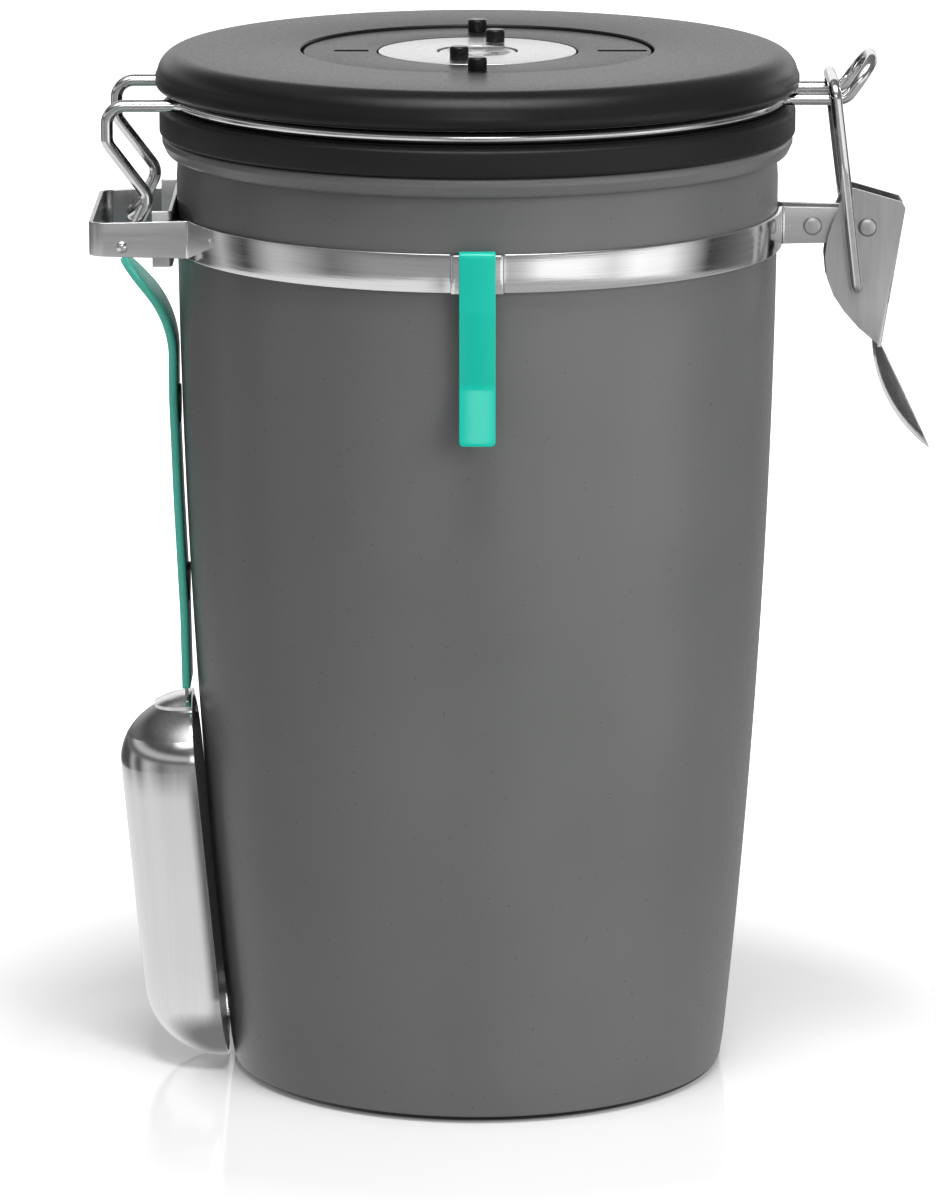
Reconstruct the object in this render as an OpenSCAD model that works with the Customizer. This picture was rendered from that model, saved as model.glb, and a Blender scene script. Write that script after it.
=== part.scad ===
// Coffee canister with a hinged, valved lid, a wire bail and an over-centre latch.
// The axis of the canister is Z and it stands on z = 0. The hinge is at -X, the latch at +X
// and the clip on the band at -Y. All sizes are millimetres.

/* [Canister] */
// Height of the canister rim above the floor
body_h = 182.4; // [150:0.1:220]
// Outer radius of the straight neck
body_r = 57.3; // [54:0.1:60]
// How much smaller the radius is at the foot than at the neck
body_taper = 9.6; // [4:0.1:14]
// Thickness of the steel wall
body_wall = 0.8; // [0.5:0.1:1.2]
// How far the rolled rim stands out from the neck
rim_out = 2.7; // [1.5:0.1:3.2]
// Height of the rolled rim
rim_h = 4.8; // [4:0.1:7]
// Radius of the rounded edge at the foot
foot_round = 1.8; // [1:0.1:4]
// Rise of the pressed-in base
base_rise = 1.4; // [0.8:0.1:3]

/* [Neck band] */
// Distance from the rim down to the middle of the band
band_drop = 17.7; // [15:0.1:24]
// Height of the band
band_h = 7.2; // [6.8:0.1:9]
// Thickness of the band strip
band_t = 0.8; // [0.6:0.1:1.2]
// Height of the folded-out hinge loop and latch ears
loop_h = 6.4; // [5.6:0.1:6.8]
// Distance from the neck to the outside of the hinge loop
loop_reach = 15.9; // [15:0.1:19]
// Width of the hinge loop over both ears
loop_w = 40.8; // [38:0.1:46]
// Corner radius of the hinge loop
loop_round = 3; // [1.5:0.1:4]
// Width over the two latch ears
ear_w = 6; // [5:0.1:8]
// Width of the raised bridge that the clip hooks into
bridge_w = 8.4; // [8:0.1:12]
// Height of the saddle plate behind the hinge loop
saddle_h = 10.6; // [9:0.1:12]
// Depth of the saddle plate's side flanges
saddle_d = 3.8; // [3:0.1:4]

/* [Lid] */
// How far the lid cover stands out beyond the neck
lid_over = 3.9; // [3.4:0.1:4.8]
// Height of the lid cover
lid_h = 7.1; // [6.9:0.1:9]
// Radius of the cover's rounded top edge
lid_round = 4.6; // [3:0.1:5]
// Thickness of the cover's top
lid_top_t = 1.8; // [1.4:0.1:2.2]
// Height of the soft gasket between rim and wire
gasket_h = 5.9; // [5:0.1:7]
// How far the gasket's outside stands out from the neck
gasket_out = 3.2; // [2.4:0.1:3.6]
// Depth of the lid plug below the canister rim
plug_drop = 1.2; // [0.6:0.1:1.6]
// Gap between the plug and the inside of the neck
plug_gap = 3.5; // [3.2:0.1:5]

/* [Date dials and valve] */
// Diameter of the outer date dial
day_d = 66.2; // [60:0.1:72]
// Gap round the outer date dial
dial_gap = 0.5; // [0.35:0.01:0.6]
// Diameter of the inner date dial
month_d = 37.6; // [34:0.1:42]
// Depth of the recess that holds the dials
dial_recess = 3.2; // [3:0.1:3.4]
// How far the dials sit below the top of the lid
dial_low = 0.5; // [0.2:0.1:0.6]
// Diameter of the pegs on the dials
peg_d = 3.6; // [3:0.1:4.2]
// Height of the pegs above the dials
peg_h = 2.5; // [2:0.1:4]
// Distance of the outer pegs from the lid's centre
day_peg_at = 26.7; // [24:0.1:28]
// Distance of the inner pegs from the lid's centre
month_peg_at = 12.4; // [11:0.1:14]
// Angle of the inner pegs away from the depth direction
month_peg_turn = 16; // [0:1:40]
// Diameter of the valve cap in the middle
valve_cap_d = 14.8; // [13:0.1:16]
// Diameter of the valve tube
valve_tube_d = 11.8; // [10.6:0.1:12]
// How far the valve flap can lift
valve_lift = 1.5; // [1:0.1:2]

/* [Bail wire and latch] */
// Diameter of the bail wire
wire_d = 2.3; // [2:0.1:2.6]
// How far the middle of the wire ring stands out beyond the neck
ring_over = 0.5; // [0.2:0.1:0.9]
// Distance between the middles of the two hinge arms
arm_w = 34.4; // [32:0.1:34.6]
// Distance between the middles of the two nose wires
nose_w = 16; // [14:0.1:17]
// Distance of the hinge pin from the neck
hinge_reach = 9.6; // [9.2:0.1:10.4]
// Height of the hinge pin below the middle of the band
hinge_drop = 1.4; // [1:0.1:1.8]
// Distance of the lever pin from the neck
lever_reach = 17; // [16:0.1:19]
// Distance of the band rivet from the neck
rivet_reach = 6.6; // [5:0.1:7]
// Diameter of the lever pin
pin_d = 2.8; // [2.4:0.1:3]
// Thickness of the lever sheet
lever_t = 0.8; // [0.6:0.1:1]
// How deep the thumb tab is cupped
tab_depth = 3; // [2:0.1:3.6]
// Distance from the thumb tab's rim to the axis of its round back
tab_axis = 4.2; // [3.4:0.1:6]
// Diameter of the link wire
link_d = 2.2; // [1.8:0.1:2.4]
// Height of the link's crossbar above the nose wires that it pulls on
latch_gap = 0.65; // [0.6:0.01:0.9]
// Distance between the middles of the link's legs at the top
link_w = 21.6; // [21:0.1:24]

/* [Scoop] */
// Length of the scoop bowl
bowl_len = 72.5; // [60:0.5:76]
// Radius of the scoop bowl
bowl_r = 15.2; // [13:0.1:18]
// Thickness of the scoop's steel
bowl_wall = 0.8; // [0.6:0.1:1.2]
// Width of the scoop handle
handle_w = 14; // [11:0.5:18]
// Thickness of the handle sleeve
handle_t = 1.6; // [1.4:0.1:2.2]
// Thickness of the steel strip inside the handle
tang_t = 0.6; // [0.5:0.1:0.8]
// Diameter of the magnets on the back of the handle
magnet_d = 7.6; // [6:0.1:10]

/* [Clip] */
// Width of the clip on the front of the band
clip_w = 6.7; // [5:0.1:8]
// Thickness of the clip
clip_t = 0.6; // [0.5:0.1:0.8]
// Length of the clip below the top of the band
clip_len = 35; // [30:0.1:44]
// How far the middle of the clip leans in towards the canister
clip_lean = 0.9; // [0.3:0.1:1]

/* [Clearances] */
// Gap between the band and the neck
band_gap = 0.1; // [0.05:0.01:0.2]
// Gap between pieces that slide or turn past each other
run_gap = 0.35; // [0.3:0.01:0.4]
// Radial gap between a pin and its hole
pin_gap = 0.05; // [0.03:0.01:0.08]
// Gap between flat faces that bear on each other
face_gap = 0.1; // [0.08:0.01:0.15]

/* [Hidden] */
$fn = 96;
// How much the turned end of a wire is wider than the wire, where it sits in its hole
pin_swell = 0.03;

// Colours
grey_coat = [0.40, 0.41, 0.40];
steel = [0.76, 0.76, 0.77];
black_plastic = [0.14, 0.14, 0.15];
black_rubber = [0.07, 0.07, 0.07];
lid_grey = [0.32, 0.33, 0.33];
teal = [0.13, 0.72, 0.62];

// Heights derived from the canister
body_curve_top = body_h - 2.4;
band_mid = body_h - band_drop;
band_lo = band_mid - band_h/2;
band_hi = band_mid + band_h/2;
loop_lo = band_mid - loop_h/2;
loop_hi = band_mid + loop_h/2;
gasket_lo = body_h + face_gap;
gasket_hi = gasket_lo + gasket_h;
wire_r = wire_d/2;
wire_z = gasket_hi + face_gap + wire_r;
lid_lo = wire_z + wire_r + run_gap;
lid_hi = lid_lo + lid_h;
dial_z = lid_hi - dial_recess;
dial_hi = lid_hi - dial_low;
face_t = 0.4;
cap_t = 1.1;
cap_z = dial_hi - 0.2;
lid_r = body_r + lid_over;
ring_r = body_r + ring_over;

// Radii of the band
band_in = body_r + band_gap;
band_out = band_in + band_t;
bridge_in = body_r + 2*run_gap + clip_t;
bridge_out = bridge_in + band_t;

// Pivot points, as [x, z]
hinge_at = [-(body_r + hinge_reach), band_mid - hinge_drop];
lever_at = [body_r + lever_reach, band_mid - 0.1];
rivet_at = [body_r + rivet_reach, band_mid - 0.1];
link_at = lever_at + [-2, -11.7];

// Lever widths
ear_y = ear_w/2;
rivet_head = 0.4;
cheek_in = ear_y + rivet_head + 0.3;
cheek_out = cheek_in + lever_t;
link_r = link_d/2;
pin_r = pin_d/2;
link_foot = cheek_out + 0.4 + link_r;

// Outer radius of the wall at a height, a gentle arc that is upright at its top
function wall_r(z) = z >= body_curve_top ? body_r
    : body_r - body_taper*pow((body_curve_top - z)/body_curve_top, 2);

// Points of an arc about a centre, from angle a to angle b
function arc(c, r, a, b, n) = [for (i = [0:n]) c + r*[cos(a + (b - a)*i/n), sin(a + (b - a)*i/n)]];

function unit(v) = v/norm(v);

// Points that round the corner b between a and c with radius r
function corner(a, b, c, r, n) =
    let (u = unit(a - b), v = unit(c - b), half = acos(u*v)/2)
    let (mid = b + unit(u + v)*r/sin(half))
    let (s = b + u*r/tan(half) - mid, e = b + v*r/tan(half) - mid, turn = 180 - 2*half)
    [for (i = [0:n]) mid + (s*sin(turn*(n - i)/n) + e*sin(turn*i/n))/sin(turn)];

// A path through points whose corners are rounded, where a radius of 0 keeps the point
function round_path(pts, radii, n) = [
    for (i = [0:len(pts) - 1])
        each (radii[i] == 0 ? [pts[i]] : corner(pts[i - 1], pts[i], pts[i + 1], radii[i], n))
];

// Direction of a path at point i
function heading(p, i) = unit(p[min(i + 1, len(p) - 1)] - p[max(i - 1, 0)]);

// Side vectors that follow the path without twisting
function sides_of(p, i, side, out) = i == len(p) ? out
    : let (t = heading(p, i), s = unit(side - (side*t)*t))
      sides_of(p, i + 1, s, concat(out, [s]));

// A round wire along a path
module wire(p, r, first_side) {
    n = 12;
    side = sides_of(p, 0, first_side, []);
    pts = [
        for (i = [0:len(p) - 1])
            let (t = heading(p, i), s = side[i], q = cross(t, s))
            for (k = [0:n - 1]) p[i] + r*(cos(360*k/n)*s + sin(360*k/n)*q)
    ];
    last = len(p) - 1;
    skin = [
        for (i = [0:last - 1])
            for (k = [0:n - 1])
                [i*n + k, i*n + (k + 1)%n, (i + 1)*n + (k + 1)%n, (i + 1)*n + k]
    ];
    ends = [[for (k = [0:n - 1]) n - 1 - k], [for (k = [0:n - 1]) last*n + k]];
    polyhedron(pts, [for (f = concat(skin, ends)) [for (j = [len(f) - 1:-1:0]) f[j]]], convexity = 8);
}

// A path shifted sideways by d, with mitred corners
function beside(p, d) = [
    for (i = [0:len(p) - 1])
        let (a = unit(p[min(i + 1, len(p) - 1)] - p[min(i, len(p) - 2)]))
        let (b = unit(p[max(i, 1)] - p[max(i - 1, 0)]))
        let (na = [-a[1], a[0]], nb = [-b[1], b[0]])
        p[i] + d*(na + nb)/(1 + na*nb)
];

// The outline of a strip of thickness t centred on a path
function strip(p, t) = let (l = beside(p, t/2), r = beside(p, -t/2))
    concat(l, [for (i = [len(r) - 1:-1:0]) r[i]]);

// Stands a flat [x, z] shape up in the XZ plane, spread evenly along Y
module along_y(w) {
    rotate([90, 0, 0]) linear_extrude(w, center = true, convexity = 6) children();
}

// Stands a flat [y, z] shape up in the YZ plane, spread evenly along X
module along_x(w) {
    rotate([90, 0, 90]) linear_extrude(w, center = true, convexity = 6) children();
}

// A pin along Y through the point [x, z]
module pin_y(at, r, w) {
    translate([at[0], 0, at[1]]) rotate([90, 0, 0]) cylinder(r = r, h = w, center = true);
}

// Canister
module canister_body() {
    steps = 18;
    z0 = foot_round;
    z1 = body_h - rim_h;
    floor_in = body_r - body_taper - foot_round - 4;
    edge_r = wall_r(0) - foot_round;
    outer = [for (i = [1:steps]) let (z = z0 + (z1 - z0)*i/steps) [wall_r(z), z]];
    inner = [for (i = [steps:-1:1]) let (z = z0 + (body_h - 1.2 - z0)*i/steps) [wall_r(z) - body_wall, z]];
    rim = [
        [body_r + rim_out*0.7, body_h - rim_h*0.68],
        [body_r + rim_out*0.95, body_h - rim_h*0.46],
        [body_r + rim_out, body_h - rim_h*0.3],
        [body_r + rim_out, body_h - 0.5],
        [body_r + rim_out - 0.5, body_h],
        [body_r - body_wall + 0.5, body_h]
    ];
    base = [[0, base_rise], [floor_in - base_rise, base_rise], [floor_in, 0]];
    foot = arc([edge_r, foot_round], foot_round, -90, 0, 6);
    floor_top = [
        [edge_r, body_wall],
        [floor_in + 0.3, body_wall],
        [floor_in - base_rise + 0.3, base_rise + body_wall],
        [0, base_rise + body_wall]
    ];
    color(grey_coat) rotate_extrude(convexity = 6)
        polygon(concat(base, foot, outer, rim, inner, floor_top));
}

// Band with the folded-out hinge loop, the latch ears and the bridge for the clip
module ring_cut(r_in, r_out) {
    difference() {
        circle(r_out);
        circle(r_in);
    }
}

module loop_outline(grow) {
    x0 = -(body_r + loop_reach) - grow;
    y0 = loop_w/2 + grow;
    r = loop_round + grow;
    polygon(concat(
        [[-body_r*0.8, y0]],
        arc([x0 + r, y0 - r], r, 90, 180, 6),
        arc([x0 + r, -y0 + r], r, 180, 270, 6),
        [[-body_r*0.8, -y0]]
    ));
}

module neck_band() {
    ear_x = body_r + lever_reach + 3;
    color(steel) difference() {
        union() {
            translate([0, 0, band_lo]) linear_extrude(band_h, convexity = 6) difference() {
                ring_cut(band_in, band_out);
                translate([-2*body_r, -loop_w/2 + band_t]) square([2*body_r, loop_w - 2*band_t]);
                translate([0, -ear_y + band_t]) square([2*body_r, ear_w - 2*band_t]);
                translate([-bridge_w/2, -2*body_r]) square([bridge_w, 2*body_r]);
            }
            translate([0, 0, band_lo]) linear_extrude(band_h, convexity = 6) {
                intersection() {
                    ring_cut(bridge_in, bridge_out);
                    translate([-bridge_w/2, -2*body_r]) square([bridge_w, 2*body_r]);
                }
                difference() {
                    for (s = [-1, 1]) translate([s*(bridge_w/2 + band_t/2) - band_t/2, -bridge_out + 0.3])
                        square([band_t, 4]);
                    circle(band_in);
                }
            }
            translate([0, 0, loop_lo]) linear_extrude(loop_h, convexity = 6) {
                difference() {
                    loop_outline(0);
                    loop_outline(-band_t);
                    circle(band_in);
                }
                difference() {
                    for (s = [-1, 1]) translate([0, s*(ear_y - band_t/2) - band_t/2])
                        square([ear_x, band_t]);
                    circle(band_in);
                }
            }
        }
        pin_y(hinge_at, wire_r + pin_swell + pin_gap, loop_w + 2);
        pin_y(lever_at, pin_r + pin_gap, ear_w + 2);
        pin_y(rivet_at, pin_r + pin_gap, ear_w + 2);
    }
}

// Plate that closes the hinge loop against the canister
module hinge_saddle() {
    x0 = -(body_r + band_gap);
    y0 = loop_w/2 - band_t - face_gap;
    color(steel) translate([0, 0, band_mid - saddle_h/2]) linear_extrude(saddle_h) {
        translate([x0 - band_t, -y0]) square([band_t, 2*y0]);
        for (s = [-1, 1]) translate([x0 - saddle_d, s*(y0 - band_t/2) - band_t/2])
            square([saddle_d, band_t]);
    }
}

module rivet(at, half_len, head_r, head_h) {
    pin_y(at, pin_r, 2*half_len + head_h);
    for (s = [-1, 1]) translate([0, s*(half_len + head_h/2), 0]) pin_y(at, head_r, head_h);
}

module band_rivet() {
    color(steel) rivet(rivet_at, ear_y, 1.8, rivet_head);
}

module lever_pin() {
    color(steel) rivet(lever_at, cheek_out + face_gap, 1.8, 0.5);
}

// Clip that hooks over the bridge in the front of the band
module front_clip() {
    back = -(body_r + run_gap + clip_t/2);
    front = -(bridge_out + run_gap + clip_t/2);
    top = band_hi + face_gap + clip_t/2;
    tip = band_hi - clip_len;
    path = round_path(
        [[back, band_lo + 1], [back, top], [front, top], [front, band_lo - 3.4],
            [front + clip_lean, tip + 10.5], [front + clip_lean - 2.6, tip]],
        [0, 0.7, 0.7, 3, 5, 0], 4);
    color(teal) intersection() {
        along_x(clip_w) polygon(strip(path, clip_t));
        rotate([90, 0, 0]) linear_extrude(2*body_r) polygon(concat(
            arc([clip_w/2 - 0.8, tip + 0.8], 0.8, -90, 0, 4),
            [[clip_w/2, top + clip_t], [-clip_w/2, top + clip_t]],
            arc([-clip_w/2 + 0.8, tip + 0.8], 0.8, 180, 270, 4)
        ));
    }
}

// Bail wire: two hinge arms, a ring round the lid and the nose that the latch pulls on
module bail_wire() {
    a = arm_w/2;
    b = nose_w/2;
    z = wire_z;
    arm_turn = asin(a/ring_r);
    nose_turn = asin(b/ring_r);
    hx = hinge_at[0];
    hz = hinge_at[1];
    nose_x = lever_at[0] - 4.6;
    front_half = [for (t = [180 + arm_turn:6:360 - nose_turn - 3]) [ring_r*cos(t), ring_r*sin(t), z]];
    start = [
        [hx, -loop_w/2 + band_t, hz],
        [hx, -a, hz],
        [hx + 2.4, -a, hz + 3.2],
        [hx + 5.2, -a, hz + 8.9],
        [hx - 2.7, -a, z - 7],
        [hx - 2.7, -a, z],
        front_half[0]
    ];
    start_round = [0, 1.5, 4, 3.2, 3, 3.4, 2.6];
    rest_of_ring = [for (i = [1:len(front_half) - 1]) front_half[i]];
    tip = [
        [ring_r*cos(nose_turn), -b, z],
        [nose_x, -b, z],
        [nose_x + 5, -b, z + 7]
    ];
    tip_round = [2.4, 3, 5];
    half = concat(start, rest_of_ring, tip);
    half_round = concat(start_round, [for (p = rest_of_ring) 0], tip_round);
    back = [for (i = [len(half) - 1:-1:0]) [half[i][0], -half[i][1], half[i][2]]];
    back_round = [for (i = [len(half) - 1:-1:0]) half_round[i]];
    color(steel) {
        wire(round_path(concat(half, back), concat(half_round, back_round), 5), wire_r, [0, 0, 1]);
        for (s = [-1, 1]) translate([0, s*(loop_w/2 - band_t/2), 0])
            pin_y(hinge_at, wire_r + pin_swell, band_t + 0.7);
    }
}

// Lid cover with the recess for the dials
module lid_cover() {
    skirt = 1.8;
    low_round = 1.2;
    pocket_r = day_d/2 + dial_gap;
    color(lid_grey) rotate_extrude(convexity = 8) polygon(concat(
        [[valve_tube_d/2 + 0.2, dial_z], [pocket_r, dial_z], [pocket_r, lid_hi]],
        arc([lid_r - lid_round - 0.3, lid_hi - lid_round], lid_round, 90, 10, 7),
        [[lid_r, lid_lo + 2.4]],
        arc([lid_r - low_round, lid_lo + low_round], low_round, 0, -90, 4),
        [[lid_r - skirt - low_round, lid_lo]],
        [[lid_r - skirt - low_round, lid_hi - lid_top_t - 1.8]],
        [[lid_r - skirt - low_round - 1.8, lid_hi - lid_top_t]],
        [[pocket_r + 1.4, lid_hi - lid_top_t], [pocket_r + 1.4, dial_z - 1.2]],
        [[valve_tube_d/2 + 0.2, dial_z - 1.2]]
    ));
}

// Inner lid: plug, wire seat and the valve's seat
module lid_base() {
    plug_r = body_r - body_wall - plug_gap;
    seat_r = ring_r - wire_r - 0.25;
    plug_lo = body_h - plug_drop;
    deck = gasket_hi - 1;
    seat_z = deck + 1.4;
    hub_r = valve_tube_d/2 + 0.2;
    color(black_plastic) difference() {
        rotate_extrude(convexity = 8) polygon([
            [0, deck], [plug_r - 2, deck], [plug_r - 2, plug_lo], [plug_r - 0.6, plug_lo],
            [plug_r, plug_lo + 0.6], [plug_r, gasket_hi + face_gap], [seat_r, gasket_hi + face_gap],
            [seat_r, lid_hi - lid_top_t - face_gap], [seat_r - 2, lid_hi - lid_top_t - face_gap],
            [seat_r - 2, seat_z], [hub_r + 1.6, seat_z], [hub_r + 1.6, seat_z + 3],
            [hub_r, seat_z + 3], [hub_r, seat_z], [0, seat_z]
        ]);
        for (i = [0:3]) rotate(45 + 90*i) translate([2.8, 0, deck - 1]) cylinder(r = 0.9, h = 4);
    }
}

// Soft ring that seals on the canister rim and carries the wire
module lid_gasket() {
    in_r = body_r - body_wall - plug_gap + face_gap;
    out_r = body_r + gasket_out;
    color(black_rubber) rotate_extrude(convexity = 4) polygon(concat(
        [[in_r, gasket_lo], [out_r - 1, gasket_lo]],
        arc([out_r - 0.7, gasket_lo + 0.7], 0.7, -60, 0, 3),
        arc([out_r - 0.9, gasket_hi - 1.5], 0.9, 0, 75, 4),
        [[out_r - 1.8, gasket_hi - 0.3], [ring_r + 1, gasket_hi], [in_r, gasket_hi]]
    ));
}

// Valve tube with its vented cap, which also holds the dials down
module valve_hub() {
    tube_r = valve_tube_d/2;
    seat_z = gasket_hi + 0.4 + face_gap;
    color(black_plastic) difference() {
        rotate_extrude(convexity = 4) polygon([
            [0, cap_z - 1.8], [tube_r - 1, cap_z - 1.8], [tube_r - 1, seat_z], [tube_r, seat_z],
            [tube_r, cap_z - cap_t], [valve_cap_d/2, cap_z - cap_t], [valve_cap_d/2, cap_z - 0.3],
            [valve_cap_d/2 - 0.3, cap_z], [valve_cap_d/2 - 1.2, cap_z],
            [valve_cap_d/2 - 1.6, cap_z - 0.25], [0, cap_z - 0.25]
        ]);
        for (i = [0:5]) rotate(60*i) translate([3.2, 0, cap_z - 3]) cylinder(r = 0.7, h = 4);
    }
}

module valve_flap() {
    seat_z = gasket_hi + 0.4 + face_gap;
    flap_r = valve_tube_d/2 - 1 - run_gap;
    color(black_rubber) translate([0, 0, seat_z]) rotate_extrude() polygon([
        [0, 0], [flap_r, 0], [flap_r, 0.5], [1.4, 1], [1.2, 2.6], [0, 2.6]
    ]);
}

// Strainer under the valve that keeps grounds out of it
module valve_screen() {
    top = gasket_hi - 1 - face_gap;
    color(steel) difference() {
        translate([0, 0, top - 0.8]) cylinder(r = 8, h = 0.8);
        for (k = [0:2]) for (i = [0:max(0, 6*k - 1)])
            rotate(60*i/max(k, 1)) translate([2.4*k, 0, top - 2]) cylinder(r = 0.6, h = 3, $fn = 24);
    }
}

// Outer date dial, with an inner step that the inner dial holds down
module day_dial() {
    in_r = month_d/2 + run_gap;
    lip_r = in_r - 1.4;
    z = dial_z + face_gap;
    top = dial_hi;
    groove = 0.6;
    groove_w = 0.9;
    color(lid_grey) difference() {
        rotate_extrude(convexity = 4) polygon([
            [lip_r, z], [day_d/2, z], [day_d/2, top - 0.3], [day_d/2 - 0.3, top], [in_r + 0.2, top],
            [in_r, top - 0.2], [in_r, z + 1], [lip_r, z + 1]
        ]);
        translate([(in_r + day_d/2)/2 + 1.4, 0, top]) cube([9.4, groove_w, 2*groove], center = true);
        translate([-(in_r + day_d/2)/2 + 2.2, 0, top]) cube([6.6, groove_w, 2*groove], center = true);
    }
}

// Peg with a stub that is pressed into its dial
module peg(top) {
    translate([0, 0, top]) rotate_extrude($fn = 40) polygon([
        [0, face_gap], [peg_d/2, face_gap], [peg_d/2, peg_h - 0.4], [peg_d/2 - 0.4, peg_h], [0, peg_h]
    ]);
}

module day_pegs() {
    color(black_plastic) for (s = [-1, 1]) translate([0, s*day_peg_at, 0]) peg(dial_hi);
}

module month_pegs() {
    color(black_plastic) for (s = [-1, 1])
        rotate(-month_peg_turn) translate([0, s*month_peg_at, 0]) peg(dial_hi);
}

// Inner date dial
module month_dial() {
    z = dial_z + face_gap;
    bore = valve_tube_d/2 + run_gap;
    out_r = month_d/2;
    foot_r = out_r - 1.4;
    step = z + 1 + face_gap;
    top = dial_hi - face_t;
    color(black_plastic) rotate_extrude(convexity = 4) polygon([
        [bore, z], [foot_r, z], [foot_r, step], [out_r, step], [out_r, top],
        [valve_cap_d/2 + run_gap, top], [valve_cap_d/2 + run_gap, cap_z - cap_t - run_gap],
        [bore, cap_z - cap_t - run_gap]
    ]);
}

// Brushed steel face of the inner dial
module month_face() {
    z = dial_hi - face_t;
    color(steel) rotate_extrude() polygon([
        [valve_cap_d/2 + run_gap, z], [month_d/2, z], [month_d/2, z + 0.25], [month_d/2 - 0.15, dial_hi],
        [valve_cap_d/2 + run_gap, dial_hi]
    ]);
}

// Over-centre lever: two cheeks, an outer web and the curved thumb tab
module latch_lever() {
    p = lever_at;
    outline = concat(
        [p + [7.2, 3.6], p + [6.4, 4.8], p + [-2.6, 7.4]],
        arc(p + [-2.8, 5.6], 1.8, 100, 170, 3),
        [p + [-6, 2.8], p + [-7.5, -1.8], p + [-8, -6], p + [-7.6, -10], p + [-6.4, -13.2],
            p + [-4.4, -16.2], p + [-1.6, -19.4], p + [1.4, -22], p + [2.9, -23.2]]
    );
    web = [p + [6.8, 3.7], p + [2.5, -23.2]];
    color(steel) difference() {
        union() {
            for (s = [-1, 1]) translate([0, s*(cheek_in + lever_t/2), 0]) along_y(lever_t) polygon(outline);
            along_y(2*cheek_out) polygon(strip(web, lever_t));
            thumb_tab(web[1] + [-1.2, 2.5], p + [12.2, -43.4]);
        }
        pin_y(p, pin_r + pin_gap, 2*cheek_out + 2);
        pin_y(link_at, link_r + pin_swell + pin_gap, 2*cheek_out + 2);
    }
}

// Cupped thumb tab between two points [x, z], cut from a thin spindle along its length
module thumb_tab(top, tip) {
    half_len = norm(tip - top)/2;
    bend = (half_len*half_len + tab_depth*tab_depth)/(2*tab_depth);
    mid = (top + tip)/2;
    way = (tip - top)/norm(tip - top);
    turn = atan2(way[0], -way[1]);
    translate([mid[0], 0, mid[1]]) rotate([0, 180 - turn, 0]) translate([-tab_axis, 0, 0])
        intersection() {
            difference() {
                spindle(0, half_len, bend);
                spindle(lever_t, half_len, bend);
            }
            translate([tab_axis - lever_t/2, -2*tab_axis, -half_len]) cube([2*tab_axis, 4*tab_axis, 2*half_len]);
        }
}

// Body of revolution with a bowed side, made thinner all round by cut
module spindle(cut, half_len, bend) {
    span = asin(half_len/bend);
    rotate_extrude() polygon(concat(
        [[0, -half_len], [0, half_len]],
        arc([tab_axis + tab_depth - bend, 0], bend - cut, span, -span, 16)
    ));
}

// Wire link that pulls the bail's nose down
module latch_link() {
    top_z = wire_z + wire_r + link_r + latch_gap;
    top_x = lever_at[0] - 6.9;
    y1 = link_w/2;
    waist = 24;
    half = [
        [link_at[0], -(cheek_in + lever_t/2), link_at[1]],
        [link_at[0], -link_foot, link_at[1]],
        [link_at[0] + (top_x - link_at[0])*waist/(top_z - link_at[1]), -y1, link_at[1] + waist],
        [top_x, -y1, top_z]
    ];
    half_round = [0, 1.5, 12, 2.6];
    back = [for (i = [len(half) - 1:-1:0]) [half[i][0], -half[i][1], half[i][2]]];
    back_round = [for (i = [len(half) - 1:-1:0]) half_round[i]];
    color(steel) {
        wire(round_path(concat(half, back), concat(half_round, back_round), 6), link_r, [0, 0, 1]);
        for (s = [-1, 1]) translate([0, s*(cheek_in + lever_t/2), 0])
            pin_y(link_at, link_r + pin_swell, lever_t + 0.5);
    }
}

// Scoop placed on the floor, leaning on the canister wall below the hinge loop
scoop_lean = atan((wall_r(bowl_len) - wall_r(0) + 0.6)/bowl_len);
scoop_foot_x = -(wall_r(0) + 0.8);
scoop_foot_z = bowl_r - bowl_r*cos(scoop_lean);

module in_scoop_frame() {
    translate([scoop_foot_x, 0, scoop_foot_z]) rotate([0, -scoop_lean, 0]) children();
}

// Outline of half the bowl, turned about its long axis
function bowl_half(r) = let (top_r = r*0.8) concat(
    [[0, bowl_r - r]],
    arc([0, bowl_r], r, -80, 0, 9),
    [for (i = [0:8]) [r*cos(90*i/8), bowl_len - bowl_r*0.8 + top_r*sin(90*i/8)]]
);

module bowl_solid(r) {
    rotate_extrude() polygon(bowl_half(r));
}

module scoop_bowl() {
    color(steel) in_scoop_frame() difference() {
        bowl_solid(bowl_r);
        bowl_solid(bowl_r - bowl_wall);
        translate([0, -2*bowl_r, -bowl_r]) cube([2*bowl_r, 4*bowl_r, bowl_len + 2*bowl_r]);
    }
}

// How deep the magnets sit in the sleeve
magnet_in = 0.3;

// Centre line of the handle as [x, z], which follows the wall and then curves away from it
handle_gap = 0.75;
function handle_x(z) = -(wall_r(z) + handle_gap + handle_t/2);
bowl_top = [scoop_foot_x - bowl_len*sin(scoop_lean), scoop_foot_z + bowl_len*cos(scoop_lean)];
handle_top_z = loop_lo - 3.4;
bend_z = handle_top_z - 11.3;
function handle_z(share) = bowl_top[1] + share*(bend_z - bowl_top[1]);
handle_line = round_path([
    [bowl_top[0] - 0.9, bowl_top[1] + 2.6],
    [handle_x(handle_z(0.23)), handle_z(0.23)],
    [handle_x(handle_z(0.52)), handle_z(0.52)],
    [handle_x(handle_z(0.8)), handle_z(0.8)],
    [-(body_r + 0.8), bend_z],
    [-(body_r + 10.4), handle_top_z]
], [0, 30, 60, 30, 20, 0], 5);

// Shape of the handle as seen from the side of the canister, with a round top end
module handle_face(w, top, low) {
    polygon(concat(arc([0, top - w/2], w/2, 0, 180, 16), [[-w/2, low], [w/2, low]]));
}

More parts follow.
